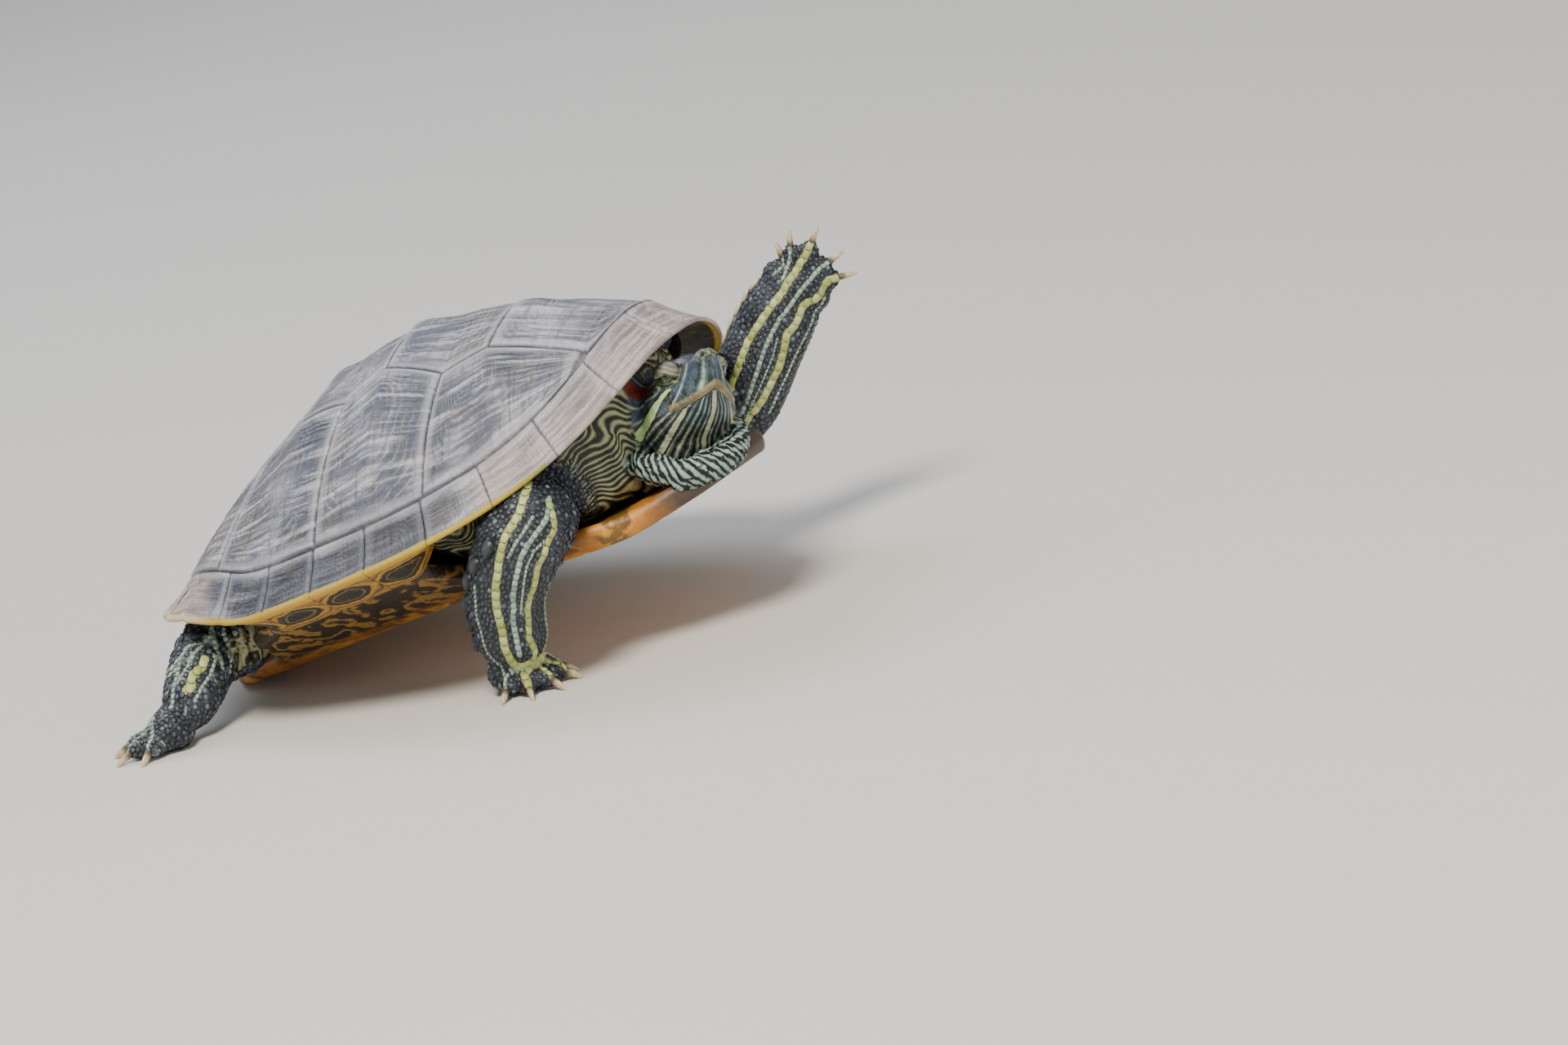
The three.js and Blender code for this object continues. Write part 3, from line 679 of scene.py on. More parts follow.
def leaf_section(walk, w):
    """A point of the folded leaf: w runs over the top, round the lip and back underneath."""
    station = station_of(walk)
    rim = rim_point(walk)
    inner = inner_point(walk)
    top_in = np.clip(1 - w / TOP_SHARE, 0, 1)
    under_in = np.clip((w - LIP_SHARE) / (UNDER_SHARE - LIP_SHARE), 0, 1)
    turn = np.clip((w - TOP_SHARE) / (LIP_SHARE - TOP_SHARE), 0, 1) * math.pi
    depth = np.where(w < TOP_SHARE, top_in, under_in)
    place = lerp(rim, inner, depth[:, None])
    low = rim[:, 2] - RIM_THICKNESS + under_in * under_drop(station)
    closing = np.clip((w - UNDER_SHARE) / (1 - UNDER_SHARE), 0, 1)
    place[:, 2] = np.where(w > LIP_SHARE, lerp(low, inner[:, 2], closing), place[:, 2])
    on_lip = (w >= TOP_SHARE) & (w <= LIP_SHARE)
    half = RIM_THICKNESS / 2
    place[:, 2] = np.where(on_lip, rim[:, 2] - half + half * np.cos(turn), place[:, 2])
    tuck = np.where(on_lip, half * (1 - np.sin(turn)), half)
    taper = half * np.clip(1 - depth * 3, 0, 1)
    return place + inward(walk) * np.where(on_lip, tuck, taper)[:, None], depth


def close_roll(mesh, reach, crease=math.pi):
    """Joins the two borders of a grid rolled into a tube, fills its ends and creases its ridges."""
    bm = bmesh.new()
    bm.from_mesh(mesh)
    bmesh.ops.remove_doubles(bm, verts=bm.verts, dist=reach)
    bmesh.ops.holes_fill(bm, edges=[edge for edge in bm.edges if edge.is_boundary], sides=0)
    bmesh.ops.triangulate(bm, faces=[face for face in bm.faces if len(face.verts) > 4])
    bmesh.ops.recalc_face_normals(bm, faces=bm.faces)
    for ridge in bm.edges:
        ridge.smooth = ridge.calc_face_angle(0) < crease
    bm.to_mesh(mesh)
    bm.free()


print("round the lip in mm:", round(math.pi * RIM_THICKNESS / 2, 1))

# %% Marginal plates
MARGINAL_CENTRE = (0.72, 0.8)
LEAF_CELLS = 44
NOTCH = 1.5
PALE_FRONT = (0.2, 0.33)
PALE_REAR = (0.67, 0.82)


def marginal_scute(name, start, end, side, seed, along=34):
    mesh, u, w = grid_mesh(name, along, LEAF_CELLS)
    length = np.linalg.norm(rim_point(start) - rim_point(end))
    walk = lerp(start, end, lerp(SEAM_GAP / length, 1 - SEAM_GAP / length, u))
    signs = side * np.ones(len(u))
    if side == 0:
        signs = np.sign(u - 0.5)
        walk = np.abs(lerp(-end, end, u))
        length = 2 * rim_half_width(station_of(end))
    place, depth = leaf_section(walk, w)
    station = station_of(walk)
    width = MARGIN_WIDTH * 1.2
    seam = np.minimum(u, 1 - u) * length
    on_top = w < (TOP_SHARE + LIP_SHARE) / 2
    across_mm = np.where(on_top, depth * width, -depth * width)
    notch = NOTCH * bell(seam, 2.2) * smoothstep(station, 0.6, 0.85) * (1 - depth)
    place = place + inward(walk) * notch[:, None]
    edge = np.where(on_top, np.minimum(seam, (1 - depth) * width + 0.2), seam)
    growth = growth_ring(u, 1 - depth, MARGINAL_CENTRE)
    plate = np.stack([u * length + seed * 23.0, depth * width + seed * 11.0, edge], -1)
    relief = horn_relief(plate, growth, edge, seed, 0.75) * np.where(on_top, 1, 0.25)
    relief = relief * smoothstep(np.abs(w - (TOP_SHARE + LIP_SHARE) / 2), 0.03, 0.12)
    flare = -0.9 * np.sin(math.pi * depth) * on_top
    place[:, 2] += np.where(w > UNDER_SHARE, 0, np.where(on_top, relief + flare, -relief))
    blot_u = (u - 0.55) * length / 9.6
    blot_v = (depth * width - 8.0) / 5.2
    blot = np.clip(np.hypot(blot_u, blot_v) * 0.62, 0, 1)
    pale = smoothstep(station, *PALE_REAR) + 0.75 * smoothstep(station, *PALE_FRONT[::-1])
    pale = pale * (0.35 + 0.65 * smoothstep(depth, 1.1, 0.2)) + 0.15 * noise(place, 7, seed)
    place[:, 1] *= signs
    set_points(mesh, place)
    band = 1.3 * smoothstep(station, 0.1, 0.24) + 1.5 * smoothstep(station, 0.8, 0.93) - 0.2
    # Painted shade: the outer tops of the side marginals are darkened, stored as the negative part of the
    # bleaching measure.
    shaded = 0.95 * smoothstep(station, 0.2, 0.32) * (1 - smoothstep(station, 0.63, 0.76))
    shaded = shaded * smoothstep(depth + 0.12 * noise(place, 12, seed), 1.0, 0.72)
    set_measures(
        mesh, plate=plate, ring=growth, under=np.where(w > UNDER_SHARE + 0.01, ON_TOP, band - across_mm),
        bleach=np.clip(pale, 0, 1) * 0.85 - shaded, blot=np.where(station < 0.16, 0.5, blot))
    close_roll(mesh, 0.002, CREASE_ANGLE)
    set_points(mesh, to_floor(get_points(mesh)))
    return finish_piece("scute_" + name, mesh, carapace, [name])


for label, side in sides.items():
    for number in range(1, 13):
        last = 0.9995 if number == 12 else walk_of(SEAM_STATIONS[number])
        first = walk_of(SEAM_STATIONS[number - 1])
        marginal_scute(f"marginal_{label}_{number}", first, last, side, number + 30 + side)
marginal_scute("nuchal", 0.0, walk_of(SEAM_STATIONS[0]), 0, 60, 20)
print("marginal plates:", 25)

# %% [markdown]
# Between the plates a real shell has shallow grooves, not gaps. A lining just under the
# dome closes every seam from below.

# %% Lining under the seams
LINING_DEPTH = 1.3
LINING_ENDS = (-94.5, 96.5)
LINING_CELLS = (120, 90)


def shell_lining():
    mesh, u, v = grid_mesh("shell_lining", *LINING_CELLS)
    x = lerp(*LINING_ENDS, u)
    y = (2 * v - 1) * (inner_half_width(x) + 0.9)
    set_points(mesh, np.stack([x, y, dome_height(x, y) - LINING_DEPTH], -1))
    close_below(mesh, 1.0)
    set_points(mesh, to_floor(get_points(mesh)))
    look = dress(material("seam_keratin", 0.7)[0], {"Base Color": "#74767d"})
    return finish_piece("shell_lining", mesh, look)


shell_lining()
print("seams closed", LINING_DEPTH, "mm down")

# %% [markdown]
# ## The plastron
# The belly plate is one flat shield of twelve scutes, joined to the marginals by a bridge on
# each side. A loft suits it: at every place along the body a rounded, flattened section,
# whose width, depth and level come from the same curves as the solid. The seams are grooves
# pressed into it, and the finish reads its plan position to lay a dark figure on each scute.

# %% Plastron
PLASTRON_FRONT = 108
PLASTRON_REAR = -95
PLASTRON_LEVEL = -29.5
BRIDGE_HALF_WIDTH = 74.5
BRIDGE_TURN = 38
BRIDGE_CLIMB = 18
LOBE_HALF_WIDTH = 50
PLASTRON_CELLS = (150, 176)
FLOOR_LEVEL = -REST_SHIFT[2]
plastron_half = profile([
    [PLASTRON_REAR, 12], [-88, 31], [-75, 42], [-54, LOBE_HALF_WIDTH], [-44, 72],
    [-20, BRIDGE_HALF_WIDTH], [15, BRIDGE_HALF_WIDTH], [28, 71], [39, LOBE_HALF_WIDTH],
    [70, 47], [88, 37], [102, 26], [PLASTRON_FRONT, 17],
])
plastron_level = profile([
    [PLASTRON_REAR, PLASTRON_LEVEL], [50, PLASTRON_LEVEL], [85, -30], [PLASTRON_FRONT, -27]])
PLASTRON_SEAMS = [
    polyline([[0, 86], [36, 93]]), polyline([[0, 62], [50, 66]]), polyline([[0, 22], [75, 26]]),
    polyline([[0, -24], [75, -36]]), polyline([[0, -66], [45, -56]]),
]


def floor_height(x):
    """Height of the level floor in the pitched body frame."""
    return (FLOOR_LEVEL - x * math.sin(PITCH)) / math.cos(PITCH)


def plastron_depth(x):
    return lerp(5, 7.5, smoothstep(x, 45, 80))


def plastron_floor(x, y):
    share = np.clip((np.abs(y) - BRIDGE_TURN) / (BRIDGE_HALF_WIDTH - BRIDGE_TURN), 0, 1)
    return plastron_level(x) + BRIDGE_CLIMB * share ** 1.2


def seam_distance(x, y):
    """Plan distance in millimetres from the nearest seam of the belly scutes."""
    crossing = [np.abs(x - seam(np.abs(y))) for seam in PLASTRON_SEAMS]
    return np.minimum(np.min(crossing, axis=0), np.abs(y))


def plastron_piece(look):
    mesh, u, v = grid_mesh("plastron", *PLASTRON_CELLS)
    x = lerp(PLASTRON_REAR, PLASTRON_FRONT, u)
    room = np.maximum(LOBE_HALF_WIDTH, inner_half_width(x) - GAP)
    half = np.minimum(plastron_half(x), room)
    end = np.minimum(u, 1 - u) * (PLASTRON_FRONT - PLASTRON_REAR)
    depth = plastron_depth(x)
    cap = np.sqrt(1 - (1 - np.clip(end / (depth / 2), 0, 1)) ** 2)
    turn = v * 2 * math.pi
    across, upright = np.cos(turn), np.sin(turn)
    wide = np.sign(across) * (1 - (1 - np.abs(across)) ** 1.6)
    y = wide * half
    round_edge = np.clip((1 - np.abs(wide)) * half / (depth / 2), 0, 1)
    section = np.sqrt(1 - (1 - round_edge) ** 2) * np.sign(upright) * cap
    low = plastron_floor(x, y)
    seam = seam_distance(x, y)
    groove = 0.5 * bell(seam, 0.9) * (upright < 0)
    z = low + depth / 2 + section * (depth / 2 - groove)
    z += 0.15 * noise(np.stack([x, y], -1), 14) * (upright < 0) * smoothstep(end, 4, 12)
    z = np.where(upright < 0, np.maximum(z, floor_height(x)), z)
    set_points(mesh, np.stack([x, y, z], -1))
    set_measures(mesh, belly=np.stack([x, y, np.minimum(seam, 20)], -1))
    close_roll(mesh, 0.004)
    set_points(mesh, to_floor(get_points(mesh)))
    return finish_piece("plastron_shield", mesh, look, ["plastron"])


print("plastron length in mm:", PLASTRON_FRONT - PLASTRON_REAR)

# %% [markdown]
# ## The plastron's finish
# A slider's plastron is orange-yellow horn with a smoky dark figure on each scute, dark seams
# and fine growth lines. It is brown at the front edge. The bridge is darkened by stains and painted shade.

# %% Plastron material
def plastron_finish():
    look, put = material("plastron_keratin", 0.48, ior=1.54)
    place = put("TexCoord", {}, out="Object")
    belly = put("Attribute", {}, out="Vector", attribute_name="belly")
    along, sideways, seam = (put("SeparateXYZ", {"Vector": belly}, out=axis) for axis in "XYZ")
    sideways = put("Math", {0: sideways}, operation="ABSOLUTE")

    cloud = put("TexNoise", {"Vector": place, "Scale": per_mm(14), "Detail": 4.0})
    horn = put("ValToRGB", {"Fac": cloud}, stops=[
        (0.35, "#b4671c"), (0.5, "#d08a26"), (0.65, "#dfa53a"), (0.8, "#d9b158")])
    smoke = put("TexNoise", {"Vector": place, "Scale": per_mm(11), "Detail": 3.0, "Distortion": 1.2})
    inland = put("MapRange", {"Value": seam, "From Min": 2.0, "From Max": 14.0, "To Max": 0.22})
    smoke = put("Math", {0: smoke, 1: inland}, operation="ADD")
    horn = lay(put, horn, "#2e2415", smoke, [(0.66, 0.0), (0.74, 0.75)])

    # The bridge is darkened, partly by its own dark stains and partly by painted shade, with wavering yellow
    # lines left clear.
    swirl = put("Math", {0: cloud, 1: 5.0}, operation="MULTIPLY")
    swirl = put("Math", {0: swirl, 1: 0.5}, operation="PINGPONG")
    swirl = put("ValToRGB", {"Fac": swirl}, stops=[
        (0.1, "#93702f"), (0.17, "#4d3f22"), (0.24, "#1d1812"), (0.5, "#28221a")])
    on_bridge = put("MapRange", {"Value": sideways, "From Min": 42.0, "From Max": 50.0})
    horn = put("Mix", {"Factor": on_bridge, "A": horn, "B": swirl})

    growth = put("Math", {0: seam, 1: 0.55}, operation="PINGPONG")
    horn = lay(put, horn, "#6b4216", growth, [(0.0, 0.3), (0.14, 0.0)])
    line = put("MapRange", {"Value": seam, "From Min": 0.25, "From Max": 0.6, "To Min": 0.9, "To Max": 0.0})
    horn = put("Mix", {"Factor": line, "A": horn, "B": "#35230f"})
    front = put("MapRange", {"Value": along, "From Min": 86.0, "From Max": 99.0})
    finish = put("Mix", {"Factor": front, "A": horn, "B": "#4b3b2e"})
    grain = put("TexNoise", {"Vector": place, "Scale": per_mm(1.1), "Detail": 3.0})
    bump = put("Bump", {"Height": grain, "Strength": 0.35, "Distance": 0.4 * MM})
    return dress(look, {"Base Color": finish, "Normal": bump})


plastron_piece(plastron_finish())
print("plastron laid under the body")

# %% [markdown]
# ## Limb shapes
# Legs, toes, neck and tail are all bent tubes: a smooth path through a few places, a thickness
# at each, and a rounded end. The path is a centripetal Catmull-Rom curve, which never loops
# between places that sit close together. A tube can be broader than it is thick, as feet are.
# The same path also measures the skin later: how far along a limb a spot is, and how far round.

# %% Limb shapes
CURVE_STEPS = 40


def spine_of(stations):
    """Dense places along the path, the distance walked to each, and the radius there."""
    knots = np.array([station[:3] for station in stations], float)
    ends = [2 * knots[0] - knots[1], *knots, 2 * knots[-1] - knots[-2]]
    share = np.linspace(0, 1, CURVE_STEPS, endpoint=False)[:, None]
    places = []
    for before, start, stop, after in zip(ends, ends[1:], ends[2:], ends[3:]):
        hops = [np.sqrt(np.linalg.norm(b - a)) for a, b in ((before, start), (start, stop), (stop, after))]
        leave = (start - before) / hops[0] - (stop - before) / (hops[0] + hops[1]) + (stop - start) / hops[1]
        reach = (stop - start) / hops[1] - (after - start) / (hops[1] + hops[2]) + (after - stop) / hops[2]
        leave, reach = leave * hops[1], reach * hops[1]
        places.append(start + leave * share + (3 * (stop - start) - 2 * leave - reach) * share ** 2
                      + (2 * (start - stop) + leave + reach) * share ** 3)
    places = np.vstack([*places, knots[-1:]])
    walked = np.concatenate([[0], np.cumsum(np.linalg.norm(np.diff(places, axis=0), axis=1))])
    girth = profile([[i / (len(knots) - 1), station[3]] for i, station in enumerate(stations)])
    return places, walked, girth(np.linspace(0, 1, len(places)))


def limb_frame(stations, share, normal):
    """Centre, tangent, two directions across, radius and length at shares of the path."""
    places, walked, radii = spine_of(stations)
    at = share * walked[-1]
    ahead = np.gradient(places, axis=0)
    centre = np.stack([np.interp(at, walked, places[:, i]) for i in range(3)], -1)
    tangent = unit(np.stack([np.interp(at, walked, ahead[:, i]) for i in range(3)], -1))
    side = unit(np.cross(tangent, normal))
    return centre, tangent, side, np.cross(tangent, side), np.interp(at, walked, radii), walked[-1]


UPRIGHT = (0.2, 0.1, 1)


def ball_mesh(name, around, along):
    bm = bmesh.new()
    bmesh.ops.create_uvsphere(bm, u_segments=around, v_segments=along, radius=1)
    mesh = as_mesh(bm, name)
    return mesh, get_points(mesh)


def limb_mesh(stations, normal=UPRIGHT, broad=1.0, cells=(28, 36)):
    mesh, ball = ball_mesh("limb", *cells)
    turn = np.arccos(np.clip(ball[:, 2], -1, 1)) / math.pi
    share = np.clip(lerp(turn, (1 - ball[:, 2]) / 2, 0.35), 0, 1)
    centre, _, side, over, radius, length = limb_frame(stations, share, normal)
    near_end = np.clip(np.minimum(share, 1 - share) * length / radius, 0, 1)
    ring = np.hypot(ball[:, 0], ball[:, 1])
    cap = radius * np.sqrt(1 - (1 - near_end) ** 2) / np.maximum(ring, 1e-6) * (ring > 1e-5)
    across = side * (broad * cap * ball[:, 0])[:, None] + over * (cap * ball[:, 1])[:, None]
    set_points(mesh, centre + across)
    return mesh


def limb_measures(points, stations, normal=UPRIGHT):
    """Share along the path, angle round it in degrees, and distance in radii, at each point."""
    places, walked, radii = spine_of(stations)
    square = (points ** 2).sum(1)[:, None] + (places ** 2).sum(1) - 2 * points @ places.T
    nearest = np.argmin(square / radii ** 2, axis=1)
    share = walked[nearest] / walked[-1]
    centre, _, side, over, radius, _ = limb_frame(stations, share, normal)
    offset = points - centre
    angle = np.arctan2((offset * side).sum(1), (offset * over).sum(1)) / DEGREE
    return share, angle, np.linalg.norm(offset, axis=1) / radius


print("limb paths take", CURVE_STEPS, "steps between stations")

# %% [markdown]
# ## Where head, legs and feet are
# The head has its own frame: X out of the snout, Y left, Z through the crown. The turtle
# has drawn its neck in, so that slack skin stands in a collar under the jaw. It props itself on
# three feet and holds the left forefoot up, pressed forward with its toes spread.

# %% Head sizes
HEAD_ORIGIN = np.array([122.3, -12.5, 4.5])
HEAD_FORWARD = unit((0.876, -0.3485, 0.3345))
HEAD_LEFT = unit(np.cross((-0.177, 0.413, 0.894), HEAD_FORWARD))
HEAD_FRAME = np.stack([HEAD_FORWARD, HEAD_LEFT, np.cross(HEAD_FORWARD, HEAD_LEFT)])
HEAD_REAR = -38
HEAD_FRONT = 2.6
FACE_SLOPE = 0.28
SNOUT_BLUNTNESS = 12
HEAD_SQUARENESS = 2.5
TEMPLE_TAPER = 0.15
CHEEK_HOLLOW = 0.3
head_half = profile([
    [HEAD_REAR, 12.8], [-29, 15.2], [-21, 15.2], [-13, 10.6], [-7, 7.3], [-2, 5.3], [HEAD_FRONT, 3.8]])
head_top = profile([
    [HEAD_REAR, 11], [-29, 14.2], [-20, 15], [-13, 14.0], [-8, 11.7], [-4, 11], [-1, 10.9], [HEAD_FRONT, 10]])
head_low = profile([
    [HEAD_REAR, -13.4], [-29, -12.8], [-20, -11], [-10, -8.3], [-3, -5.8], [HEAD_FRONT, -1.6]])


def out_of_head(points):
    return np.asarray(points, float) @ HEAD_FRAME + HEAD_ORIGIN


def into_head(points):
    return (np.asarray(points, float) - HEAD_ORIGIN) @ HEAD_FRAME.T


print("head length in mm:", HEAD_FRONT - HEAD_REAR)

# %% Neck, tail, legs and feet
def floor_point(x, y, rise):
    """A body-frame place at this height above the floor."""
    return [x, y, floor_height(x) + rise]


NECK = [[64, 0, -4, 25], [80, 2, -6, 25], [91, 1, -6, 23], [99, -3, -4, 18]]
COLLAR = [
    [84.4, -21.3, -9.7, 4], [93.8, -24.3, -15.2, 4.7], [104.2, -22.7, -19.9, 5],
    [109.5, -14.6, -21.1, 5], [110, -1.5, -19.7, 4.6], [106, 10, -13.8, 4.2]]
THROAT = [[92.3, -4, -11.7, 15], [98.8, -7.3, -11.3, 14], [105.3, -10.6, -12.1, 10.5]]
TAIL = [[-82, 0, -15, 8], [-96, 2, -18.5, 5.4], [-106, 5, -20.5, 3.2], [-114, 9, -22.2, 1]]
FORELEG_RIGHT = [[60, -42, -9, 15], [64, -62, -13, 14.5], [49, -64, -28, 12.6], [38.5, -60.5, -52, 10.5]]
FORELEG_LEFT = [[62, 40, -10, 14], [75, 60, -16, 10.6], [88, 70, -3, 10.6], [105, 78.5, 12.5, 9.6]]
HINDLEG_RIGHT = [
    [-60, -40, -11, 14.5], [-69, -62, -12, 11.5], [-70, -77, -19, 9.8], [*floor_point(-72, -88, 6.5), 8]]
HINDLEG_LEFT = [
    [-58, 40, -11, 14.5], [-55, 66, -11, 11.5], [-49, 82, -22, 9.8], [*floor_point(-40, 91, 6.5), 8]]
FOREFOOT = {"angles": [-72, -38, -5, 30, 64], "reach": [15.5, 17.5, 18, 17, 15.5], "palm": 7.6}
HINDFOOT = {"angles": [-48, -18, 12, 42], "reach": [17, 20, 20, 17], "palm": 7}
TOE_RADIUS = 3.6
FLOOR_NORMAL = (math.sin(PITCH), 0, math.cos(PITCH))
RAISED_NORMAL = (0.3, -0.95, 0.05)
RAISED_PALM = [[99, 76, 6, 7.5], [106, 78.5, 12, 8], [111.5, 79.5, 16.5, 6]]
RAISED_ROOT = np.array([105, 78, 11])
RAISED_TIPS = [
    [106.3, 76, 24.6], [111.6, 77, 27.3], [119.7, 80, 25], [121.5, 83, 14.7], [120.8, 86, 7]]


def standing_foot(shape, centre, heading):
    """Palm and toes of a foot flat on the floor: a low pad and a fan of toes."""
    ahead = np.array([math.cos(heading), math.sin(heading)])
    palm = [[*floor_point(*(centre - 7 * ahead), shape["palm"] + 2.5), shape["palm"]],
            [*floor_point(*centre, shape["palm"] - 0.5), shape["palm"]],
            [*floor_point(*(centre + 9.5 * ahead), 3.5), shape["palm"] - 3]]
    toes = []
    for angle, reach in zip(shape["angles"], shape["reach"]):
        turn = heading + angle * DEGREE
        out = np.array([math.cos(turn), math.sin(turn)]) * reach
        toes.append([[*floor_point(*(centre + share * out), rise), radius] for share, rise, radius in (
            (0.1, 5.5, TOE_RADIUS), (0.6, 3.8, TOE_RADIUS - 0.4), (0.76, 3.0, 2.5), (0.84, 2.4, 1.7))])
    return palm, toes, FLOOR_NORMAL


def raised_foot():
    toes = [[[*lerp(RAISED_ROOT, np.array(tip), share), radius] for share, radius in (
        (0.3, 3.6), (0.62, 3.2), (0.76, 2.5), (0.84, 1.7))] for tip in RAISED_TIPS]
    return RAISED_PALM, toes, RAISED_NORMAL


feet = {
    "forefoot_right": standing_foot(FOREFOOT, np.array([37, -59]), -0.3),
    "forefoot_left": raised_foot(),
    "hindfoot_right": standing_foot(HINDFOOT, np.array([-75, -90]), 218 * DEGREE),
    "hindfoot_left": standing_foot(HINDFOOT, np.array([-36, 94]), 40 * DEGREE),
}
legs = {
    "foreleg_right": (FORELEG_RIGHT, UPRIGHT, 1.0),
    "foreleg_left": (FORELEG_LEFT, RAISED_NORMAL, 1.25),
    "hindleg_right": (HINDLEG_RIGHT, UPRIGHT, 1.0),
    "hindleg_left": (HINDLEG_LEFT, UPRIGHT, 1.0),
}
print("limbs:", ", ".join(legs), "and", sum(len(foot[1]) for foot in feet.values()), "toes")

# %% [markdown]
# ## One skin
# The soft parts are laid over each other as plain closed shapes and then recast as one skin
# with a voxel remesh, so that there is no seam where a leg enters the body. The real
# animal's skin is one sheet too. Only the ends of the trunk show through the shell's openings,
# so that the middle is just a core that ties front to rear.

# %% Head and trunk
def head_mesh():
    mesh, ball = ball_mesh("head", 56, 48)
    x = lerp(HEAD_REAR, HEAD_FRONT, (1 - ball[:, 2]) / 2)
    ring = np.maximum(1e-6, np.hypot(ball[:, 0], ball[:, 1]))
    across, upright = ball[:, 0] / ring, ball[:, 1] / ring
    spread = np.abs(across) ** HEAD_SQUARENESS + np.abs(upright) ** HEAD_SQUARENESS
    fill = np.maximum(spread, 1e-6) ** (-1 / HEAD_SQUARENESS)
    fill *= np.sqrt(1 - np.abs(ball[:, 2]) ** SNOUT_BLUNTNESS) * (ring > 1e-5)
    middle, tall = (head_top(x) + head_low(x)) / 2, (head_top(x) - head_low(x)) / 2
    level = middle + upright * fill * tall
    receding = FACE_SLOPE * (head_top(x) - level) * smoothstep(x, -12, 0)
    temple = 1 - TEMPLE_TAPER * smoothstep(level, 0, 12) * smoothstep(x, -16, -22)
    temple = temple - CHEEK_HOLLOW * smoothstep(level, 1, 8) * bell(x + 9, 4.5)
    set_points(mesh, out_of_head(np.stack([x - receding, across * fill * temple * head_half(x), level], -1)))
    return mesh


TRUNK_HALF = [
    [-89, 20], [-70, 40], [-55, 52], [-40, 70], [0, 80], [30, 73], [45, 60], [60, 46], [74, 40], [86, 26]]
TRUNK_CLEARANCE = 1.6
TRUNK_SQUARENESS = 4.5


def trunk_end(first, last):
    """The trunk between two places, filling the room between plastron and carapace."""
    mesh, ball = ball_mesh("trunk", 56, 40)
    fill = (np.abs(ball) ** TRUNK_SQUARENESS).sum(1) ** (-1 / TRUNK_SQUARENESS)
    block = ball * fill[:, None]
    x = lerp(first, last, (block[:, 0] + 1) / 2)
    y = np.minimum(profile(TRUNK_HALF)(x), inner_half_width(x) - 2.5) * block[:, 1]
    roof = dome_height(x, y) - PLATE_DEPTH - TRUNK_CLEARANCE
    bed = plastron_floor(x, y) + plastron_depth(x) + TRUNK_CLEARANCE - 0.6
    set_points(mesh, np.stack([x, y, lerp(bed, roof, (block[:, 2] + 1) / 2)], -1))
    return mesh


print("trunk width in mm:", 2 * max(half for _, half in TRUNK_HALF))

# %% Rough skin
VOXEL = 1.07


def web_meshes(foot):
    """Thin skin between neighbouring toes."""
    palm, toes, normal = foot
    start = np.array(palm[1])
    for one, other in zip(toes, toes[1:]):
        middle = (np.array(one[1]) + np.array(other[1])) / 2
        end = lerp(start, middle, 0.92)
        yield limb_mesh([[*start[:3], 3.2], [*lerp(start, middle, 0.55)[:3], 2.4], [*end[:3], 1.5]],
                        normal, 1.9, (20, 16))


def modified(mesh, kind, **settings):
    """The mesh that one modifier makes of another, which is removed."""
    holder = linked("holder", mesh)
    modifier = holder.modifiers.new(kind.lower(), kind)
    for key, value in settings.items():
        setattr(modifier, key, value)
    seen = holder.evaluated_get(bpy.context.evaluated_depsgraph_get())
    made = bpy.data.meshes.new_from_object(seen)
    bpy.data.objects.remove(holder)
    bpy.data.meshes.remove(mesh)
    return made


def rough_skin():
    soft = [head_mesh(), limb_mesh(NECK, cells=(48, 36)), limb_mesh(COLLAR, cells=(28, 60)), limb_mesh(TAIL)]
    soft.append(limb_mesh(THROAT))
    soft += [limb_mesh(stations, normal, broad, (36, 48)) for stations, normal, broad in legs.values()]
    for foot in feet.values():
        palm, toes, normal = foot
        soft.append(limb_mesh(palm, normal, 1.5, (32, 24)))
        soft += [limb_mesh(toe, normal, 1.05, (20, 20)) for toe in toes]
        soft += web_meshes(foot)
    core = [[-60, 0, -8, 13], [0, 0, -8, 13], [50, 0, -8, 13]]
    soft += [trunk_end(20, 91), trunk_end(-89, -46), limb_mesh(core)]
    bm = bmesh.new()
    for mesh in soft:
        bm.from_mesh(mesh)
        bpy.data.meshes.remove(mesh)
    return modified(as_mesh(bm, "soft_parts"), "REMESH", mode="VOXEL", voxel_size=VOXEL)


skin = rough_skin()
print("rough skin vertices:", len(skin.vertices))

# %% Finer head
SMOOTHING_ROUNDS = 4


def refine_head(mesh):
    """Smooths the sheet, then gives the head four times the vertices."""
    bm = bmesh.new()
    bm.from_mesh(mesh)
    for _ in range(SMOOTHING_ROUNDS):
        bmesh.ops.smooth_vert(
            bm, verts=bm.verts, factor=0.5, use_axis_x=True, use_axis_y=True, use_axis_z=True)
    spots = into_head([vert.co for vert in bm.verts])
    chosen = (spots[:, 0] > -31) & (np.abs(spots[:, 1]) < 17) & (np.abs(spots[:, 2]) < 16)
    edges = [edge for edge in bm.edges if chosen[edge.verts[0].index] and chosen[edge.verts[1].index]]
    bmesh.ops.subdivide_edges(bm, edges=edges, cuts=1, use_grid_fill=True, smooth=0.6)
    bm.to_mesh(mesh)
    bm.free()


refine_head(skin)
print("with a finer head:", len(skin.vertices), "vertices,", len(skin.polygons), "faces")

# %% [markdown]
# ## Keeping skin and shell apart
# Real skin folds away under the rim and meets the plastron at its edge. Here every spot that
# would poke into a marginal plate goes just below it, and spots in the plastron go just out.

# %% Skin clear of shell and floor
SHELL_CLEARANCE = 0.4
SOLE_GAP = 0.02
CLAW_GAP = 0.05
roof_faces = bmesh.new()
for made in bpy.context.scene.objects:
    if made.name.startswith("scute_marginal"):
        roof_faces.from_mesh(made.data)
roof_faces.verts.ensure_lookup_table()
for vert, place in zip(roof_faces.verts, from_floor([vert.co for vert in roof_faces.verts])):
    vert.co = place
roof = BVHTree.FromBMesh(roof_faces)
roof_faces.free()


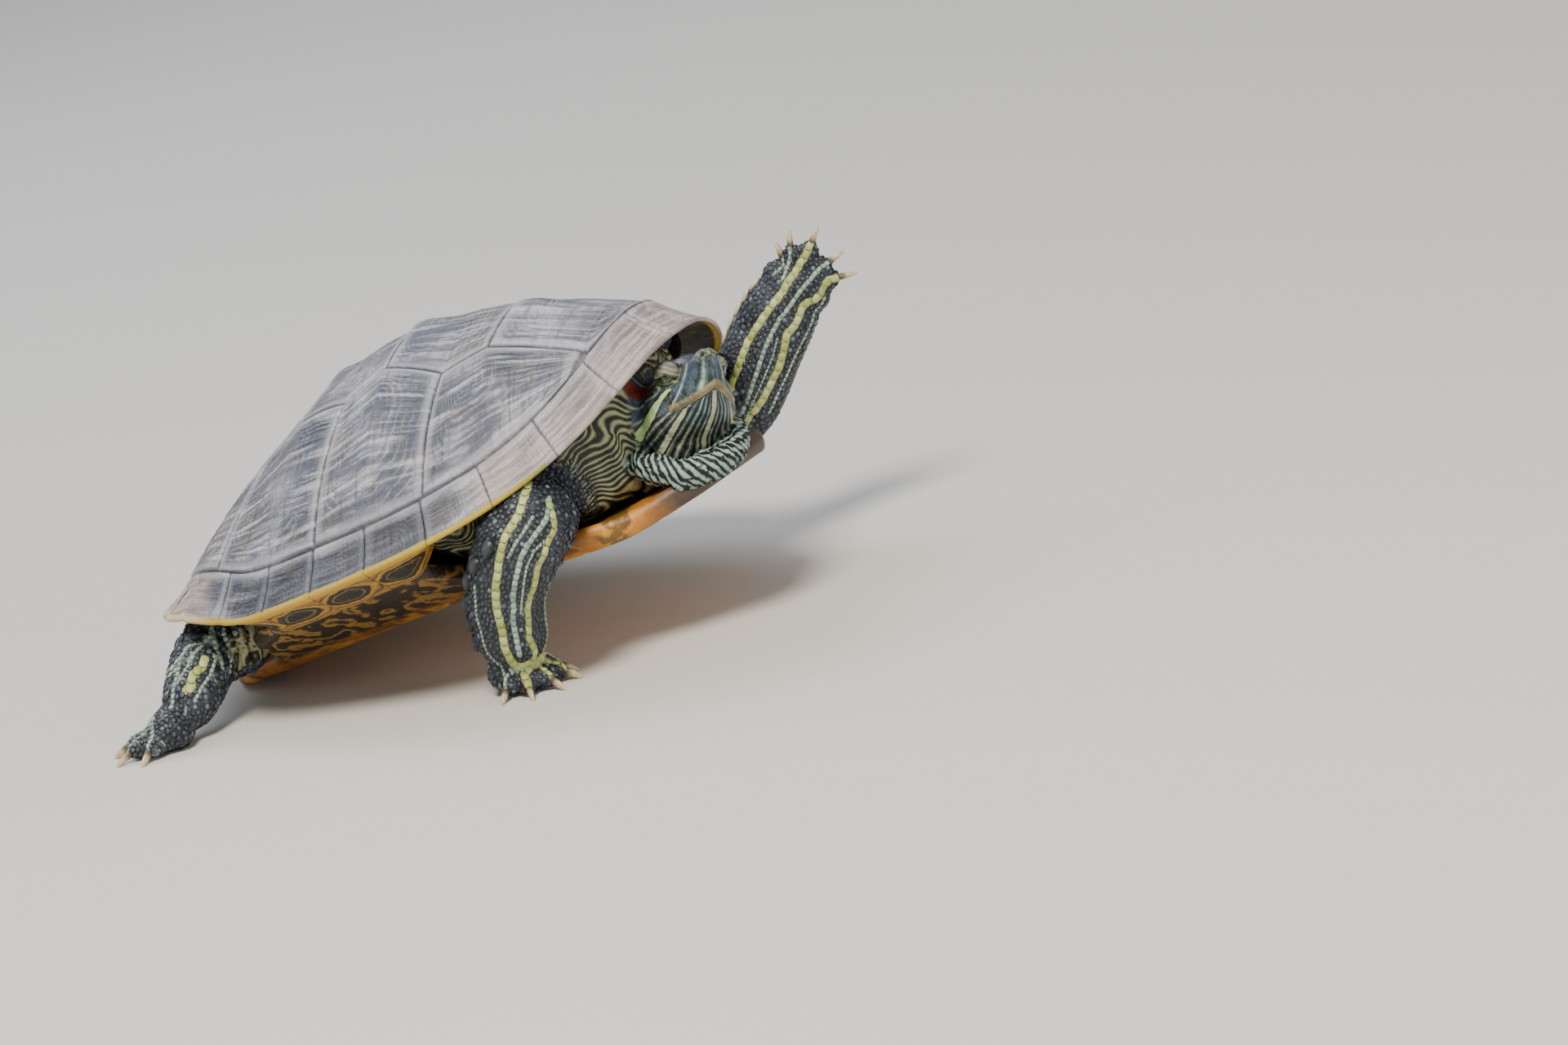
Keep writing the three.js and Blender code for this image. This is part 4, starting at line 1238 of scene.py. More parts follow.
def clear_of_shell(points):
    """Moves body-frame points out of the marginal band, the plastron and the floor."""
    points = np.array(points, float)
    x, y, z = points.T
    margin = np.abs(y) > inner_half_width(x) - 2
    for i in np.nonzero(margin)[0]:
        hit = roof.ray_cast(Vector((x[i], y[i], -120)), Vector((0, 0, 1)))[0]
        if hit is not None and z[i] > hit.z - SHELL_CLEARANCE:
            points[i, 2] = hit.z - SHELL_CLEARANCE
    z = points[:, 2]
    half = np.minimum(plastron_half(x), np.maximum(LOBE_HALF_WIDTH, inner_half_width(x) - GAP))
    outward = half + SHELL_CLEARANCE - np.abs(y)
    floor = plastron_floor(x, y) - SHELL_CLEARANCE
    upward = floor + plastron_depth(x) + 2 * SHELL_CLEARANCE - z
    inside = (outward > 0) & (upward > 0) & (z > floor) & (x > -95) & (x < 108)
    aside = inside & (outward < upward)
    points[aside, 1] += (np.sign(y) * outward)[aside]
    points[inside & ~aside, 2] += upward[inside & ~aside]
    points[:, 2] = np.maximum(points[:, 2], floor_height(points[:, 0]) + SOLE_GAP)
    return points


set_points(skin, clear_of_shell(get_points(skin)))
print("skin kept", SHELL_CLEARANCE, "mm clear of the shell")

# %% [markdown]
# ## Carving the face
# A slider's face is hard beak and tight skin. The eye sits in a round orbit under a brow, with
# lids like the rims of two cups and a narrow slanting slit. The upper jaw ends in a horny
# edge that overhangs the lower jaw and comes to a low notch under the nose, an upturned V
# from the front. Nostrils are two pits close together at the tip.
# Each feature is a small push along the skin's own normal, or a pull to a sphere around the eye.

# %% Eye and mouth
EYE_CENTRE = np.array([-14.5, 8.6, 9.2])
EYE_RADIUS = 4.0
LID_RADIUS = 4.5
SOCKET_RADIUS = 3.4
EYE_AXIS = unit((0.82, 0.45, -0.35))
SLIT_AXIS = unit(np.cross(unit(np.cross(EYE_AXIS, (0.24, -0.83, -0.5))), EYE_AXIS))
SLIT_CROSS = np.cross(SLIT_AXIS, EYE_AXIS) * np.sign(np.cross(SLIT_AXIS, EYE_AXIS)[2])
SLIT_HALF_LENGTH = 2.7
SLIT_HALF_HEIGHT = 0.55
SLIT_DROP = 0.8
mouth_height = profile([[0, -2.5], [3, -3.4], [6, -3.8], [9, -3.9], [12, -3.3], [17, -2.6]])
MOUTH_REAR = -18


def eye_measures(head_points):
    """Distance from the eye's middle, along and across the slit, and how far in front, per point."""
    folded = head_points * [1, 0, 1] + np.abs(head_points) * [0, 1, 0]
    offset = folded - EYE_CENTRE
    away = np.linalg.norm(offset, axis=1)
    return away, offset @ SLIT_AXIS, offset @ SLIT_CROSS, offset @ EYE_AXIS, unit(offset)


def slit_share(along, across):
    """Below one inside the slit between the lids, growing outwards."""
    return np.hypot(along / SLIT_HALF_LENGTH, (across + SLIT_DROP) / SLIT_HALF_HEIGHT)


print("eye slit", 2 * SLIT_HALF_LENGTH, "by", 2 * SLIT_HALF_HEIGHT, "mm")

# %% Face
def carve_face(mesh):
    points, normals = get_points(mesh), get_normals(mesh)
    head = into_head(points)
    x, y, z = head.T
    on_head = smoothstep(x, -33, -28) * (np.abs(y) < 19) * (np.abs(z) < 18)
    spread = np.abs(y)

    # Beak: a raised band over the mouth line, then a groove, then the lower jaw set back.
    above = z - mouth_height(spread)
    gape = on_head * smoothstep(x, MOUTH_REAR, MOUTH_REAR + 3)
    push = gape * (0.55 * bell(above - 1.1, 1.1) - 0.75 * bell(above, 0.42) - 0.45 * bell(above + 1.2, 1.2))
    # Nostrils, with a soft rim round each.
    pit = np.hypot(z - 8.2, spread - 1.7) + np.maximum(0, -3.0 - x)
    push += on_head * (0.35 * bell(pit - 1.5, 0.5) - 1.9 * bell(pit, 0.85))
    # Brow and the hollow between eye and nose; the ear's low disc; creases behind the jaw.
    push += on_head * 0.5 * bell(x + 17, 5) * bell(z - 12.6, 2)
    push -= on_head * 0.9 * bell(x + 8.5, 3.6) * bell(z - 10.5, 4) * smoothstep(spread, 0, 3)
    ear = np.hypot(x + 27.5, z - 7)
    push += on_head * (spread > 9) * (0.3 * bell(ear, 3.2) - 0.4 * bell(ear - 3.9, 0.55))
    push -= 0.35 * on_head * bell(x + 20.5 + 0.35 * np.abs(z + 3), 0.6) * smoothstep(z, 3, -2)
    push += on_head * 0.16 * noise(head, 2.6, 5)
    points = points + normals * push[:, None]

    # Eyelids: skin near the eye is drawn onto a sphere, and into the socket inside the slit.
    away, along, across, front, ray = eye_measures(into_head(points))
    lids = smoothstep(np.hypot(along, across), LID_RADIUS * 1.04, LID_RADIUS * 0.88) * (front > 0.5)
    share = slit_share(along, across)
    over = across + SLIT_DROP
    past_slit = over - np.sign(over) * SLIT_HALF_HEIGHT
    radius = LID_RADIUS + 0.16 * np.sin(past_slit * 5.2) * (np.abs(over) > 1.1)
    radius = radius + 0.3 * bell(share - 1.3, 0.3) - 0.3 * bell(np.hypot(along, across) - 4.2, 0.35)
    radius = lerp(SOCKET_RADIUS, radius, smoothstep(share, 0.85, 1.05))
    shift = np.where(front > 0.5, (radius - away) * lids, 0)
    shift = np.where((front > 0.5) & (share < 1), shift, np.maximum(shift, LID_RADIUS - away))
    mirrored = ray * np.where(head[:, 1:2] < 0, [1, -1, 1], [1, 1, 1])
    points = points + (mirrored @ HEAD_FRAME) * shift[:, None]
    set_points(mesh, points)


carve_face(skin)
print("lids", 2 * LID_RADIUS, "mm across")

# %% [markdown]
# ## Folds and creases
# Where a turtle draws itself in, loose skin stands in folds across the neck and limbs.

# %% Folds
def fold_skin(mesh):
    points, normals = get_points(mesh), get_normals(mesh)
    push = np.zeros(len(points))
    for stations, pitch, depth, first, last in (
            (FORELEG_RIGHT, 5.5, 0.55, 0.1, 0.42), (FORELEG_LEFT, 5, 0.45, 0.1, 0.42),
            (HINDLEG_RIGHT, 5, 0.5, 0.15, 0.6), (HINDLEG_LEFT, 5, 0.5, 0.15, 0.6),
            (NECK, 5.2, 0.8, 0, 1), (COLLAR, 2.9, 0.42, 0.02, 0.98)):
        share, _, away = limb_measures(points, stations)
        along = share * spine_of(stations)[1][-1]
        near = smoothstep(away, 1.35, 1.05) * smoothstep(share, first, first + 0.08)
        near = near * smoothstep(share, last, last - 0.08)
        wave = np.sin((along + 1.2 * noise(points, 9, 3)) * 2 * math.pi / pitch)
        push += depth * near * wave
    on_head = into_head(points)[:, 0] > -30
    push = np.where(on_head & (limb_measures(points, COLLAR)[2] > 1.3), 0, push)
    push += 0.25 * noise(points, 5, 21) * ~on_head
    set_points(mesh, points + normals * push[:, None])


fold_skin(skin)
set_points(skin, clear_of_shell(get_points(skin)))
print("skin folds carved")

# %% [markdown]
# ## Markings as paths on the skin
# A slider's stripes are drawn here like tape: each is a line laid over the skin with a width,
# and every spot knows how deep inside a stripe it lies. On the legs a stripe is set by its share
# along the leg and its angle round it. On the head the lines fan out from the nose and
# then run back over the cheek and throat.

# %% Paths on limbs
def on_limb(leg, stations):
    """Skin places for pairs of share along a leg and angle round it in degrees."""
    path, normal, broad = legs[leg]
    share, angle = np.array(stations, float).T
    centre, _, side, over, radius, _ = limb_frame(path, share, normal)
    turn = angle * DEGREE
    return centre + side * (radius * broad * np.sin(turn))[:, None] + over * (radius * np.cos(turn))[:, None]


def on_foot(foot, number, sideways=180):
    """A path over the back of the palm and out along one toe."""
    palm, toes, normal = feet[foot]
    centre, _, side, over, radius, _ = limb_frame(palm, np.array([0.6]), normal)
    turn = sideways * DEGREE
    back = centre + side * (1.5 * radius * math.sin(turn)) + over * (radius * math.cos(turn))
    toe = np.array(toes[number], float)
    return np.vstack([back, toe[1:, :3] + unit(normal) * toe[1:, 3:] * 0.95])


def joined(*paths):
    return np.vstack(paths)


print("halfway down the right foreleg:", on_limb("foreleg_right", [(0.5, -90)]).round()[0])

# %% Broad stripes
# Yellow stripes: path, then half width in millimetres.
BROAD_STRIPES = [
    (joined(on_limb("foreleg_right", [
        (0.24, -160), (0.302, -141), (0.332, -121), (0.379, -94), (0.43, -78), (0.492, -69), (0.585, -60),
        (0.656, -46), (0.725, -26), (0.82, -16), (0.93, -12)]), on_foot("forefoot_right", 1, 215)), 1.4),
    (joined(on_limb("foreleg_right", [
        (0.27, -125), (0.3, -92), (0.329, -69), (0.356, -49), (0.391, -35), (0.455, -20), (0.536, -14),
        (0.627, -9), (0.703, 12), (0.8, 24), (0.93, 36)]), on_foot("forefoot_right", 3, 150)), 1.2),
    (on_foot("forefoot_right", 2, 185), 0.9),
    (joined(on_limb("foreleg_left", [
        (0.25, -158), (0.44, -161), (0.573, -163), (0.661, -161), (0.779, -165), (0.882, -170),
        (0.96, -174)]), on_foot("forefoot_left", 2, 190)), 1.3),
    (joined(on_limb("foreleg_left", [
        (0.25, 150), (0.433, 146), (0.609, 140), (0.713, 146), (0.781, 151), (0.84, 145),
        (0.936, 143)]), on_foot("forefoot_left", 4, 130)), 1.35),
    (on_limb("hindleg_right", [
        (0.656, -141), (0.7, -139), (0.725, -142), (0.762, -149), (0.8, -147), (0.833, -143),
        (0.85, -152)]), 1.5),
    (joined(on_limb("hindleg_left", [(0.3, 150), (0.6, 160), (0.9, 170)]), on_foot("hindfoot_left", 2)), 1.2),
]
print("broad stripes:", len(BROAD_STRIPES))

# %% Narrow stripes
# Blue-green stripes that break into beads.
NARROW_STRIPES = [
    (on_limb("foreleg_right", [
        (0.26, -128), (0.295, -111), (0.317, -99), (0.337, -87), (0.359, -75), (0.403, -58), (0.45, -49),
        (0.526, -40), (0.614, -33), (0.681, -18), (0.737, -5), (0.88, 6)]), 0.95),
    (on_limb("foreleg_right", [(0.3, -125), (0.317, -114), (0.342, -98), (0.375, -84)]), 0.6),
    (on_limb("foreleg_right", [
        (0.32, -81), (0.342, -73), (0.366, -60), (0.418, -44), (0.504, -29), (0.65, -14)]), 0.45),
    (on_limb("foreleg_right", [(0.55, -100), (0.7, -72), (0.85, -50), (0.97, -40)]), 0.5),
    (on_limb("foreleg_right", [(0.5, 40), (0.7, 60), (0.95, 70)]), 0.7),
    (joined(on_limb("foreleg_left", [
        (0.3, 172), (0.376, 169), (0.573, 169), (0.695, 172), (0.831, 171), (0.912, 164)]),
        on_foot("forefoot_left", 3, 165)), 0.75),
    (on_limb("foreleg_left", [(0.3, 158), (0.5, 157), (0.65, 156), (0.75, 162)]), 0.35),
    (on_limb("foreleg_left", [(0.4, 125), (0.7, 120), (1.0, 110)]), 0.55),
    (on_foot("forefoot_left", 1, 200), 0.6), (on_foot("forefoot_left", 0, 220), 0.6),
    (on_foot("forefoot_right", 0, 230), 0.6), (on_foot("forefoot_right", 4, 130), 0.65),
    (on_limb("hindleg_right", [
        (0.45, -138), (0.528, -146), (0.57, -162), (0.595, 179), (0.664, 173), (0.75, 179), (0.84, 177),
        (0.956, 179)]), 0.75),
    (on_limb("hindleg_right", [
        (0.42, -150), (0.472, -143), (0.524, -132), (0.59, -116), (0.651, -101)]), 0.8),
    (on_limb("hindleg_right", [(0.38, -130), (0.415, -126), (0.469, -108), (0.551, -90), (0.62, -82)]), 0.7),
    (on_limb("hindleg_right", [(0.6, -128), (0.641, -122), (0.725, -118), (0.813, -123), (0.9, -127)]), 0.65),
    (on_limb("hindleg_right", [(0.57, -150), (0.62, -160), (0.72, -166), (0.8, -172)]), 0.6),
    (on_limb("hindleg_left", [(0.3, 110), (0.6, 120), (0.95, 120)]), 0.8),
] + [(on_foot("hindfoot_right", number), 0.7) for number in range(4)] + [
    (on_foot("hindfoot_left", number), 0.7) for number in (0, 1, 3)]
print("narrow stripes:", len(NARROW_STRIPES))

# %% Depth in a stripe
FAR_OUT = -4.0
LAYING_STEPS = 14
STRIPE_REACH = 6
skin_tree = BVHTree.FromPolygons(
    [vert.co for vert in skin.vertices], [face.vertices for face in skin.polygons])


def laid_on_skin(path):
    """A path filled in with close steps, each moved to the nearest spot of the skin."""
    steps = np.linspace(0, len(path) - 1, len(path) * LAYING_STEPS)
    line = np.stack([np.interp(steps, np.arange(len(path)), path[:, i]) for i in range(3)], -1)
    return np.array([skin_tree.find_nearest(Vector(point))[0] for point in line])


def depth_in(points, stripes):
    """How far inside the nearest stripe each point lies, in millimetres. Negative is outside."""
    depth = np.full(len(points), FAR_OUT)
    for path, half in stripes:
        line = laid_on_skin(path)
        box = ((points > line.min(0) - STRIPE_REACH) & (points < line.max(0) + STRIPE_REACH)).all(1)
        if box.any():
            near = points[box]
            square = (near ** 2).sum(1)[:, None] + (line ** 2).sum(1) - 2 * near @ line.T
            away = np.sqrt(np.maximum(0, square.min(1)))
            depth[box] = np.maximum(depth[box], half - away)
    return depth


print("steps to each place of a stripe:", LAYING_STEPS)

# %% Head lines
# Head stripes, as distance along the head, angle out from straight down, and half width.
HEAD_BANDS = [
    [(-12.6, 99, 0.4), (-14.5, 95, 0.8), (-17, 88, 1.0), (-19, 84, 1.4), (-21, 80, 1.65), (-24, 77, 1.65),
     (-29, 75, 1.3), (-34, 67, 1.1), (-42, 58, 0.9)],
    [(-10.5, 52, 0.3), (-13, 49.5, 0.7), (-17.5, 48, 0.9), (-25, 45, 1.0), (-34, 43, 1.0), (-42, 42, 0.9)],
    [(-3.2, 0, 0.35), (-5, 0, 0.75), (-15, 0, 0.95), (-30, 0, 0.95), (-42, 0, 0.6)],
]
# The number of the fine line at an angle: over the mouth round a spot above the nose, and
# elsewhere round the head's own middle. Lines sit at every half, and every second one is bright.
FAN_HEIGHT = 15
FAN = ([0, 15.5, 32.5, 57, 110], [0.5, 1.5, 3.5, 8.6, 16])
ROUND = ([0, 48, 75, 125, 180], [-3.5, 1.5, 4.5, 10.5, 18])
LINE_DRIFT = 0.6
crown_edge = profile([[-40, 13.5], [-14, 12.6], [-9, 9.6], [-3, 7.8], [3, 8.6]])


def face_measures(points):
    """Line number, depth in the broad bands, height over the mouth, slit share, ear, jaw and plain skin."""
    head = into_head(points)
    x, y, z = head.T
    spread = np.abs(y)
    round_head = np.arctan2(spread, 2 - z) / DEGREE
    fan_angle = np.arctan2(spread, FAN_HEIGHT - z) / DEGREE
    above = z - mouth_height(spread)
    upper = smoothstep(above, -0.5, 0.5) * smoothstep(x, -23, -15)
    phase = lerp(np.interp(round_head, *ROUND), np.interp(fan_angle, *FAN), upper)
    depth = np.full(len(points), FAR_OUT)
    for band in HEAD_BANDS:
        at, angle, half = np.array(band[::-1], float).T
        away = np.abs(round_head - np.interp(x, at, angle)) * DEGREE * np.hypot(spread, z - 2)
        inside = np.interp(x, at, half) - away
        depth = np.maximum(depth, np.where((x < band[0][0]) & (x > -40), inside, FAR_OUT))
    depth = np.where((above > -0.4) & (x > MOUTH_REAR + 1) & (round_head < 70), FAR_OUT, depth)
    gape = np.where((x > MOUTH_REAR) & (spread < 15), above, 9.0)
    _, along, across, front, _ = eye_measures(head)
    lid = np.where(front > 0, np.maximum(slit_share(along, across), 0), 9.0)
    lid = np.where(np.hypot(along, across) < LID_RADIUS * 1.1, lid, 9.0)
    ear = bell((round_head - 119) / 9, 1) * smoothstep(x, -20, -22.5) * smoothstep(x, -39, -35)
    jaw = np.where(x > MOUTH_REAR, smoothstep(above, 0, -1.5), smoothstep(round_head, 80, 62))
    temple = smoothstep(fan_angle, 36, 39) * smoothstep(z, 4, 6) * smoothstep(x, -19, -17)
    nose = smoothstep(x, -2.6, -0.8) * smoothstep(z, 5.6, 6.8)
    return phase, depth, gape, lid, ear, jaw, np.maximum(temple, nose)


print("head bands:", len(HEAD_BANDS))

# %% Markings
COLLAR_SLANT = 0.6
HIND_START = -20


def groin_share(points):
    """The soft bare skin between each hind leg and the bridge."""
    soft = np.zeros(len(points))
    for leg in ("hindleg_right", "hindleg_left"):
        stations, normal, _ = legs[leg]
        share, angle, away = limb_measures(points, stations, normal)
        facing = smoothstep(np.abs(np.abs(angle) - 78), 34, 26) * (np.sign(angle) == np.sign(points[:, 1]))
        soft = np.maximum(soft, facing * smoothstep(share, 0.52, 0.44) * smoothstep(away, 1.5, 1.3))
    return soft


def mark_skin(mesh):
    """Stores every marking the finish reads."""
    points = get_points(mesh)
    phase, bands, gape, lid, ear, jaw, plain = face_measures(points)
    head = into_head(points)
    _, along, across, front, _ = eye_measures(head)
    disc = np.where(front > 0, np.hypot(along, across), 9.0)
    bands = np.where(disc < LID_RADIUS, FAR_OUT, bands)
    collar_share, collar_angle, collar_away = limb_measures(points, COLLAR)
    near_collar = smoothstep(collar_away, 1.35, 1.15) * smoothstep(collar_share, 0.0, 0.05)
    near_collar = near_collar * smoothstep(collar_share, 1.0, 0.95)
    near_head = smoothstep(head[:, 0], -37, -34) * smoothstep(np.abs(head[:, 1]), 19.5, 17.5)
    near_head = near_head * smoothstep(np.abs(head[:, 2] + 3), 21, 19) * (1 - near_collar)
    near_neck = smoothstep(limb_measures(points, NECK)[2], 1.25, 1.1)
    leg_away = np.min([limb_measures(points, leg[0])[2] for leg in legs.values()], axis=0)
    x, y, z = points.T
    chest = smoothstep(x, 28, 34) * smoothstep(profile(TRUNK_HALF)(x) + 3 - np.abs(y), 0, 2)
    chest = chest * smoothstep(z, -32, -28)
    chest = np.maximum(chest * smoothstep(leg_away, 1.0, 1.06), near_neck)
    flow = (z - 0.15 * x) / 2.6 + 3.5 * noise(points, 18, 4) + 1.9 * noise(points, 7, 8)
    collar_turn = np.where(collar_angle < -90, collar_angle + 360, collar_angle) * DEGREE * COLLAR[2][3]
    ridge = smoothstep(head[:, 2] - crown_edge(head[:, 0]), -0.5, 0.5) * smoothstep(head[:, 0], -24, -19)
    ridge = ridge * smoothstep(head[:, 0], -0.6, -2.6)
    throat_angle = np.arctan2(np.abs(head[:, 1]), 2 - head[:, 2]) / DEGREE
    head_bands = np.where(near_head > 0.3, bands, FAR_OUT)
    set_measures(
        mesh, zone=np.stack([near_head, near_collar, chest], -1), hind=smoothstep(x, HIND_START, -30),
        groin=groin_share(points), phase=phase - LINE_DRIFT / 2, plain=plain,
        throat=smoothstep(throat_angle, 66, 56), orbit=np.stack([disc, across + SLIT_DROP, along], -1),
        gape=np.stack([gape, smoothstep(head[:, 0], -18, -12), jaw], -1), lid=lid, ear=ear, flow=flow,
        collar=collar_share * spine_of(COLLAR)[1][-1] + COLLAR_SLANT * collar_turn, crown=ridge,
        broad=np.maximum(depth_in(points, BROAD_STRIPES), head_bands),
        narrow=depth_in(points, NARROW_STRIPES))


mark_skin(skin)
print("markings stored at", len(skin.vertices), "vertices")

# %% [markdown]
# ## The skin's finish
# The ground colour is blue-black with a green cast. Leg stripes are yellow-green and slightly
# beaded, because each scale is coloured whole. The face has fine pale lines over green-grey, a
# tan horny beak edge, pale lids and the dark red ear patch of the species. The collar is barred,
# and the chest carries a yellow-green maze. Wet skin is glossy in places, so roughness varies.

# %% Body colours
def body_tone(put, place, cloud, cells, chest_zone, collar_zone):
    """Blue-black ground with small scales whose middles carry a painted highlight, a cream groin, a maze on
    the chest and a barred collar.
    """
    hind, groin, flow, collar = (
        put("Attribute", {}, out="Fac", attribute_name=name) for name in ("hind", "groin", "flow", "collar"))
    ground = put("ValToRGB", {"Fac": cloud}, stops=[
        (0.35, "#16191c"), (0.5, "#22282f"), (0.62, "#2f3640"), (0.75, "#3a4450")])
    # Painted highlight: the middle of each small scale is lightened.
    ground = lay(put, ground, "#59636f", cells, [(0.1, 0.5), (0.45, 0.0)])
    blotch = put("TexNoise", {"Vector": place, "Scale": per_mm(5.5), "Distortion": 0.8})
    ground = lay(put, ground, "#8d9a9c", blotch, [(0.55, 0.0), (0.62, 0.8)], within=hind)

    # Groin: cream skin with a few wandering dark lines.
    wander = put("TexNoise", {"Vector": place, "Scale": per_mm(9), "Distortion": 1.0})
    wander = put("Math", {0: wander, 1: 5.0}, operation="MULTIPLY")
    wander = put("Math", {0: wander, 1: 0.5}, operation="PINGPONG")
    soft = put("ValToRGB", {"Fac": wander}, stops=[(0.1, "#23261f"), (0.2, "#8f8d6b"), (0.5, "#bdb78f")])
    ground = put("Mix", {"Factor": groin, "A": ground, "B": soft})

    # Chest: wavering olive lines, some of them wide.
    widen = put("TexNoise", {"Vector": place, "Scale": per_mm(8)})
    maze = put("Math", {0: flow, 1: 0.5}, operation="PINGPONG")
    maze = put("Math", {0: widen, 1: 0.7, 2: maze}, operation="MULTIPLY_ADD")
    maze = put("ValToRGB", {"Fac": maze}, stops=[
        (0.5, "#11120e"), (0.6, "#3f4232"), (0.7, "#80855f"), (0.86, "#a9ae84")])
    ground = put("Mix", {"Factor": chest_zone, "A": ground, "B": maze})

    # Collar: slanting bars of uneven width, broken here and there.
    uneven = put("TexNoise", {"Vector": place, "Scale": per_mm(5)})
    bars = put("Math", {0: uneven, 1: 2.2, 2: collar}, operation="MULTIPLY_ADD")
    bars = put("Math", {0: bars, 1: 1.2}, operation="PINGPONG")
    broken = put("TexNoise", {"Vector": place, "Scale": per_mm(2.4)})
    broken = put("ValToRGB", {"Fac": broken}, stops=[(0.56, 0.0), (0.63, 0.55)])
    bars = put("Math", {0: bars, 1: broken}, operation="SUBTRACT")
    bars = put("ValToRGB", {"Fac": bars}, stops=[
        (0.34, "#0c1010"), (0.46, "#1f3436"), (0.62, "#6b8986"), (0.85, "#9cb3a6")])
    return put("Mix", {"Factor": collar_zone, "A": ground, "B": bars})


print("length of the barred collar in mm:", round(spine_of(COLLAR)[1][-1]))

# %% Lines and lids
def lined_tone(put, place, slate, forward, jaw, plain):
    """Fine lines, every second one thin and faint, on dark green and slate blue.

    They are blue-grey on the chin, creamier on the throat, and fade at the temple and nose."""
    phase = put("Attribute", {}, out="Fac", attribute_name="phase")
    drift = put("TexNoise", {"Vector": place, "Scale": per_mm(7)})
    drawn = put("Math", {0: drift, 1: LINE_DRIFT, 2: phase}, operation="MULTIPLY_ADD")
    second = put("Math", {0: drawn, 1: 1.5}, operation="ADD")
    second = put("Math", {0: second, 1: 1.0}, operation="PINGPONG")
    second = put("Math", {0: jaw, 1: 0.4, 2: second}, operation="MULTIPLY_ADD", use_clamp=True)
    lines = put("Math", {0: drawn, 1: 0.5}, operation="PINGPONG")
    lines = put("Math", {0: second, 1: 0.11, 2: lines}, operation="MULTIPLY_ADD")
    lines = put("ValToRGB", {"Fac": lines}, stops=[(0.4, 0.0), (0.52, 1.0)])
    faded = put("TexNoise", {"Vector": place, "Scale": per_mm(3.2)})
    faded = put("ValToRGB", {"Fac": faded}, stops=[(0.36, 0.45), (0.52, 1.0)])
    lines = put("Math", {0: lines, 1: faded}, operation="MULTIPLY")
    bare = put("Math", {0: 1.0, 1: plain}, operation="SUBTRACT")
    lines = put("Math", {0: lines, 1: bare}, operation="MULTIPLY")
    bright = put("ValToRGB", {"Fac": second}, stops=[(0.1, "#61767e"), (0.75, "#a7bda6")])
    chin = put("Mix", {"Factor": forward, "A": "#a0a385", "B": "#8ba5a9"})
    bright = put("Mix", {"Factor": jaw, "A": bright, "B": chin})
    between = put("ValToRGB", {"Fac": slate}, stops=[(0.42, "#18211e"), (0.52, "#35434c"), (0.6, "#42506a")])
    between = put("Mix", {"Factor": jaw, "A": between, "B": "#141a18"})
    hair = put("Math", {0: drawn, 1: 0.25}, operation="PINGPONG")
    between = lay(put, between, "#667d85", hair, [(0.17, 0.0), (0.23, 0.55)], within=faded)
    return put("Mix", {"Factor": lines, "A": between, "B": bright})


def orbit_tone(put, place, face):
    """A pale wrinkled upper lid, a dark slit, a pale line and a dark lower lid, in a groove darkened with
    painted shade.
    """
    lid = put("Attribute", {}, out="Fac", attribute_name="lid")
    orbit = put("Attribute", {}, out="Vector", attribute_name="orbit")
    disc, over = (put("SeparateXYZ", {"Vector": orbit}, out=axis) for axis in "XY")
    wrinkled = put("TexNoise", {"Vector": place, "Scale": per_mm(2.2)})
    over = put("Math", {0: wrinkled, 1: 1.1, 2: over}, operation="MULTIPLY_ADD")
    over = put("MapRange", {"Value": over, "From Min": -4.0, "From Max": 5.0})
    lids = put("ValToRGB", {"Fac": over}, stops=[
        (0.0, "#3b463d"), (0.3, "#4a584b"), (0.36, "#56655a"), (0.41, "#a8b295"), (0.46, "#8c9579"),
        (0.6, "#6f745c"), (0.66, "#a39d84"), (0.73, "#5c5f52"), (0.81, "#9c9986"), (0.88, "#64685d"),
        (1.0, "#8c9084")])
    in_disc = put("MapRange", {"Value": disc, "From Min": 3.9, "From Max": 4.4, "To Min": 1.0, "To Max": 0.0})
    face = put("Mix", {"Factor": in_disc, "A": face, "B": lids})
    # Painted shade: a dark ring in the groove round the lids.
    ring = put("Math", {0: disc, 1: 6.0}, operation="DIVIDE")
    face = lay(put, face, "#252c26", ring, [(0.66, 0.0), (0.72, 0.65), (0.8, 0.0)])
    rim = put("MapRange", {"Value": lid, "From Min": 0.8, "From Max": 2.2, "To Min": 1.0, "To Max": 0.0})
    return put("Mix", {"Factor": rim, "A": face, "B": "#14170f"})


print("fine lines drift by up to", LINE_DRIFT, "of a line")

